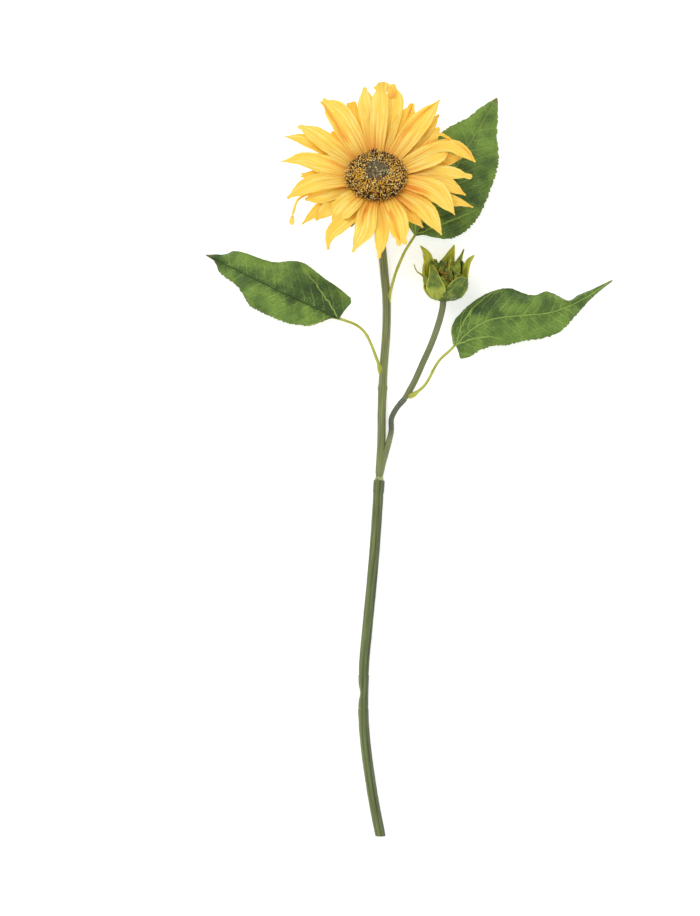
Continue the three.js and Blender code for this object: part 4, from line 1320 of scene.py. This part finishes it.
def sepal_place(sepal, seed):
    """How a sepal's sheet lies: bent round the bud and a little crumpled."""
    route = Route([(across, -up, along) for across, along, up in sepal.midline])
    width = profile(sepal.widths)
    facing = math.radians(sepal.facing)
    outward = Vector((math.cos(facing), math.sin(facing), 0))
    foot_tone, end_tone, rim_tone = sepal.tones

    def place(u, v):
        point, along, _, _ = route.frame(u)
        right = along.cross(outward).normalized()
        face = right.cross(along)
        across = v * width(u) / 2
        rough = sepal.crumple * wobble(u * 5, v * 2.2, seed * 2.3)
        rough += 0.35 * sepal.crumple * math.cos(v * 9 + seed) * min(width(u) / 10, 1)
        inwards = across * across / (2 * sepal.bend) - rough
        inwards -= 0.8 * smooth(0.8, 1.0, abs(v)) * smooth(0.2, 0.4, u)  # the rim is turned out
        co = point + right * (across * MM) - face * (inwards * MM)
        tone = mix(foot_tone, end_tone, smooth(0.38, 0.52, u))
        tone = mix(tone, rim_tone, smooth(0.8, 0.95, abs(v)) * smooth(0.3, 0.5, u))
        return BUD @ co, (tone, u, abs(v)), (across, u * route.length / MM, seed * 11.7)

    return place


def bud_cloth(settings):
    """Stiffened green cloth, painted deep green where it lies in shade and yellow-green where it is lit, as
    painted light, with pale raised lines along it 1.5 mm apart and brown at its scorched edges."""
    look = Finish("Stiffened bud cloth", 0.5, Specular_IOR_Level=0.35, Subsurface_Weight=0.15,
                  Subsurface_Scale=1.2 * MM, Subsurface_Radius=(0.8, 1.0, 0.2))
    tone, share, rim = look.parts(PATTERN)
    streak = look.streaks((0.75, 0.1, 1.0))
    patch = look.streaks((0.25, 0.2, 1.0))
    uneven = look.shifted(patch, 0.8, look.shifted(streak, 0.8, tone))
    tint = look.add("ValToRGB", [uneven],
                    stops=((0.05, settings.dark), (0.95, settings.light), (0.5, settings.middle)))
    scorch = look.add("MapRange", [rim, 0.93, 1.0, 0.0, 0.5])
    high = look.add("Math", [scorch, share], operation="MULTIPLY")
    edged = look.add("Mix", {0: high, 6: tint, 7: linear("a8672c")}, data_type="RGBA")
    return look.dress(edged, streak, 0.6, 0.35 * MM)


class SUNFLOWER_OT_bud(bpy.types.Operator):
    """Makes the half-open bud: its sepals, the crumpled strips inside and the twists of yarn"""
    bl_idname = "sunflower.bud"
    bl_label = "Bud"

    def execute(self, context):
        settings = context.scene.sunflower_bud
        cloth = bud_cloth(settings)
        bm = start_mesh()
        for seed, sepal in enumerate([*SEPALS, *bowl_sepals()]):
            sheet(bm, columns=28, rows=48, place=sepal_place(sepal, seed))
        thicken(bm, settings.sepal_thickness)
        finish(bm, "bud_sepals_cloth", cloth, ["bud_cup"])

        bm = start_mesh()
        for seed, strip in enumerate([*STRIPS, *loose_strips()]):
            crumpled = strip._replace(crumple=STRIP_CRUMPLE)
            sheet(bm, columns=10, rows=20, place=sepal_place(crumpled, seed + 20))
        thicken(bm, 0.35 * MM)
        finish(bm, "bud_strips_cloth", cloth)

        # A dark ball fills the bud, and a small cup closes its foot.
        ball = profile([(0, 0.5), (0.08, 7), (0.3, 14), (0.6, 16.5), (0.85, 12.5), (0.97, 5), (1, 0.6)])

        def ball_radius(t, angle):
            return (ball(t) + 0.8 * wobble(angle, t * 6, 2)) * MM

        bm = start_mesh()
        tube(bm, straight(BUD, (1.5, 2.5, 3), (1.5, 2.5, 31)), ball_radius, sides=48, rings=36, flat=0.76)
        # Dyed foam with open pores, so it is matt and nearly black in the shade.
        foam = Finish("Bud foam, very dark green", 0.9)
        _, pores = foam.specks(500.0, (0.35, "12160c"), (0.75, "303a18"))
        finish(bm, "bud_foam", foam.dress(pores), ["bud_core"])

        bm = start_mesh()
        cup = profile([(0, 3.4), (0.3, 6), (0.7, 9.5), (1, 11)])
        tube(bm, straight(BUD, (0, 0, -1), (0, 0, 5)), lambda t, angle: cup(t) * MM, sides=64,
             rings=16)
        finish(bm, "bud_foot_moulding", cloth)

        bm = start_mesh()
        for k, (start, stop, radius) in enumerate(FILAMENTS):
            foot, top = [(across, -up, along) for across, along, up in (start, stop)]
            tube(bm, straight(BUD, foot, top, bow=0.8),
                 lambda t, angle: radius * MM * (1 + 0.3 * math.sin(9 * t)), sides=10, rings=14, key=k * 20)
        # Two strands are twisted together, which shows as slanting bands.
        yarn = Finish("Twisted yarn, ochre", 0.8)
        weave = yarn.add("Attribute", attribute_name=WEAVE)
        strand = yarn.add("TexWave", {"Vector": weave, "Scale": 1.2, "Distortion": 2.0},
                          bands_direction="DIAGONAL")
        tint = yarn.add("ValToRGB", [strand], stops=((0.2, linear("94621c")), (0.8, linear("dba648"))))
        finish(bm, "bud_yarn", yarn.dress(tint, strand, depth=0.3 * MM))
        return {"FINISHED"}


# ---- stage ----

LAMPS = {  # place, width and power
    "Key": ((-1.2, 1.4, 2.2), 1.8, 24),
    "Fill": ((1.6, -1.0, 2.2), 2.0, 9),
}
LAMPS_AIM = Vector((-0.05, 0.1, 0))
CAMERA_PLACE = (-0.0549, 0.0007, 2.4)
CAMERA_LENS = 101.4
FLOOR_HALF = 6  # metres from the middle of the floor to its edges


class SUNFLOWER_OT_stage(bpy.types.Operator):
    """Makes the pale floor, the soft lights and the camera that looks straight down"""
    bl_idname = "sunflower.stage"
    bl_label = "Floor, lights and camera"

    def execute(self, context):
        bm = bmesh.new()
        bmesh.ops.create_grid(bm, x_segments=1, y_segments=1, size=FLOOR_HALF)
        mesh = bpy.data.meshes.new("floor")
        bm.to_mesh(mesh)
        bm.free()
        # Seamless paper that is lit from behind a little, so that it stays white between shadows.
        paper = Finish("White paper", 0.9, Emission_Color=linear("ffffff"), Emission_Strength=0.45)
        mesh.materials.append(paper.dress(linear("f7f7f7")))
        floor = bpy.data.objects.new("floor", mesh)
        context.scene.collection.objects.link(floor)

        world = bpy.data.worlds.new("Soft studio")
        world.use_nodes = True
        sky = world.node_tree.nodes["Background"]
        sky.inputs["Color"].default_value = linear("fbfdff")
        sky.inputs["Strength"].default_value = 0.8
        context.scene.world = world
        for name, (place, width, power) in LAMPS.items():
            lamp = bpy.data.lights.new(name, "AREA")
            lamp.shape = "SQUARE"
            lamp.size = width
            lamp.energy = power
            light = bpy.data.objects.new(name, lamp)
            light.location = place
            light.rotation_euler = (LAMPS_AIM - light.location).to_track_quat("-Z", "Y").to_euler()
            context.scene.collection.objects.link(light)

        camera = bpy.data.objects.new("Camera", bpy.data.cameras.new("Camera"))
        camera.data.lens = CAMERA_LENS
        camera.location = CAMERA_PLACE
        context.scene.collection.objects.link(camera)
        context.scene.camera = camera
        context.scene.view_settings.view_transform = "Standard"
        return {"FINISHED"}


# ---- the add-on ----

OPERATORS = [
    SUNFLOWER_OT_lower_stem,
    SUNFLOWER_OT_upper_stem,
    SUNFLOWER_OT_bud_branch,
    SUNFLOWER_OT_leaf_stalks,
    SUNFLOWER_OT_leaves,
    SUNFLOWER_OT_petals,
    SUNFLOWER_OT_head_calyx,
    SUNFLOWER_OT_disc,
    SUNFLOWER_OT_bud,
    SUNFLOWER_OT_stage,
]
SETTINGS = {
    "sunflower_stems": StemSettings,
    "sunflower_leaves": LeafSettings,
    "sunflower_bloom": BloomSettings,
    "sunflower_bud": BudSettings,
}


class SUNFLOWER_PT_panel(bpy.types.Panel):
    """Lists the pieces and their settings"""
    bl_idname = "SUNFLOWER_PT_panel"
    bl_label = "Sunflower spray"
    bl_space_type = "VIEW_3D"
    bl_region_type = "UI"
    bl_category = "Sunflower"

    def draw(self, context):
        layout = self.layout
        for operator in OPERATORS:
            layout.operator(operator.bl_idname)
        for name, settings in SETTINGS.items():
            box = layout.box()
            box.label(text=name.replace("_", " ").capitalize())
            for prop in settings.__annotations__:
                box.prop(getattr(context.scene, name), prop)


def register():
    for cls in (*SETTINGS.values(), *OPERATORS, SUNFLOWER_PT_panel):
        bpy.utils.register_class(cls)
    for name, settings in SETTINGS.items():
        setattr(bpy.types.Scene, name, PointerProperty(type=settings))


def unregister():
    for name in SETTINGS:
        delattr(bpy.types.Scene, name)
    for cls in (SUNFLOWER_PT_panel, *reversed(OPERATORS), *reversed(SETTINGS.values())):
        bpy.utils.unregister_class(cls)


def main():
    register()
    for operator in OPERATORS:
        group, name = operator.bl_idname.split(".")
        getattr(getattr(bpy.ops, group), name)()


if __name__ == "__main__":
    main()
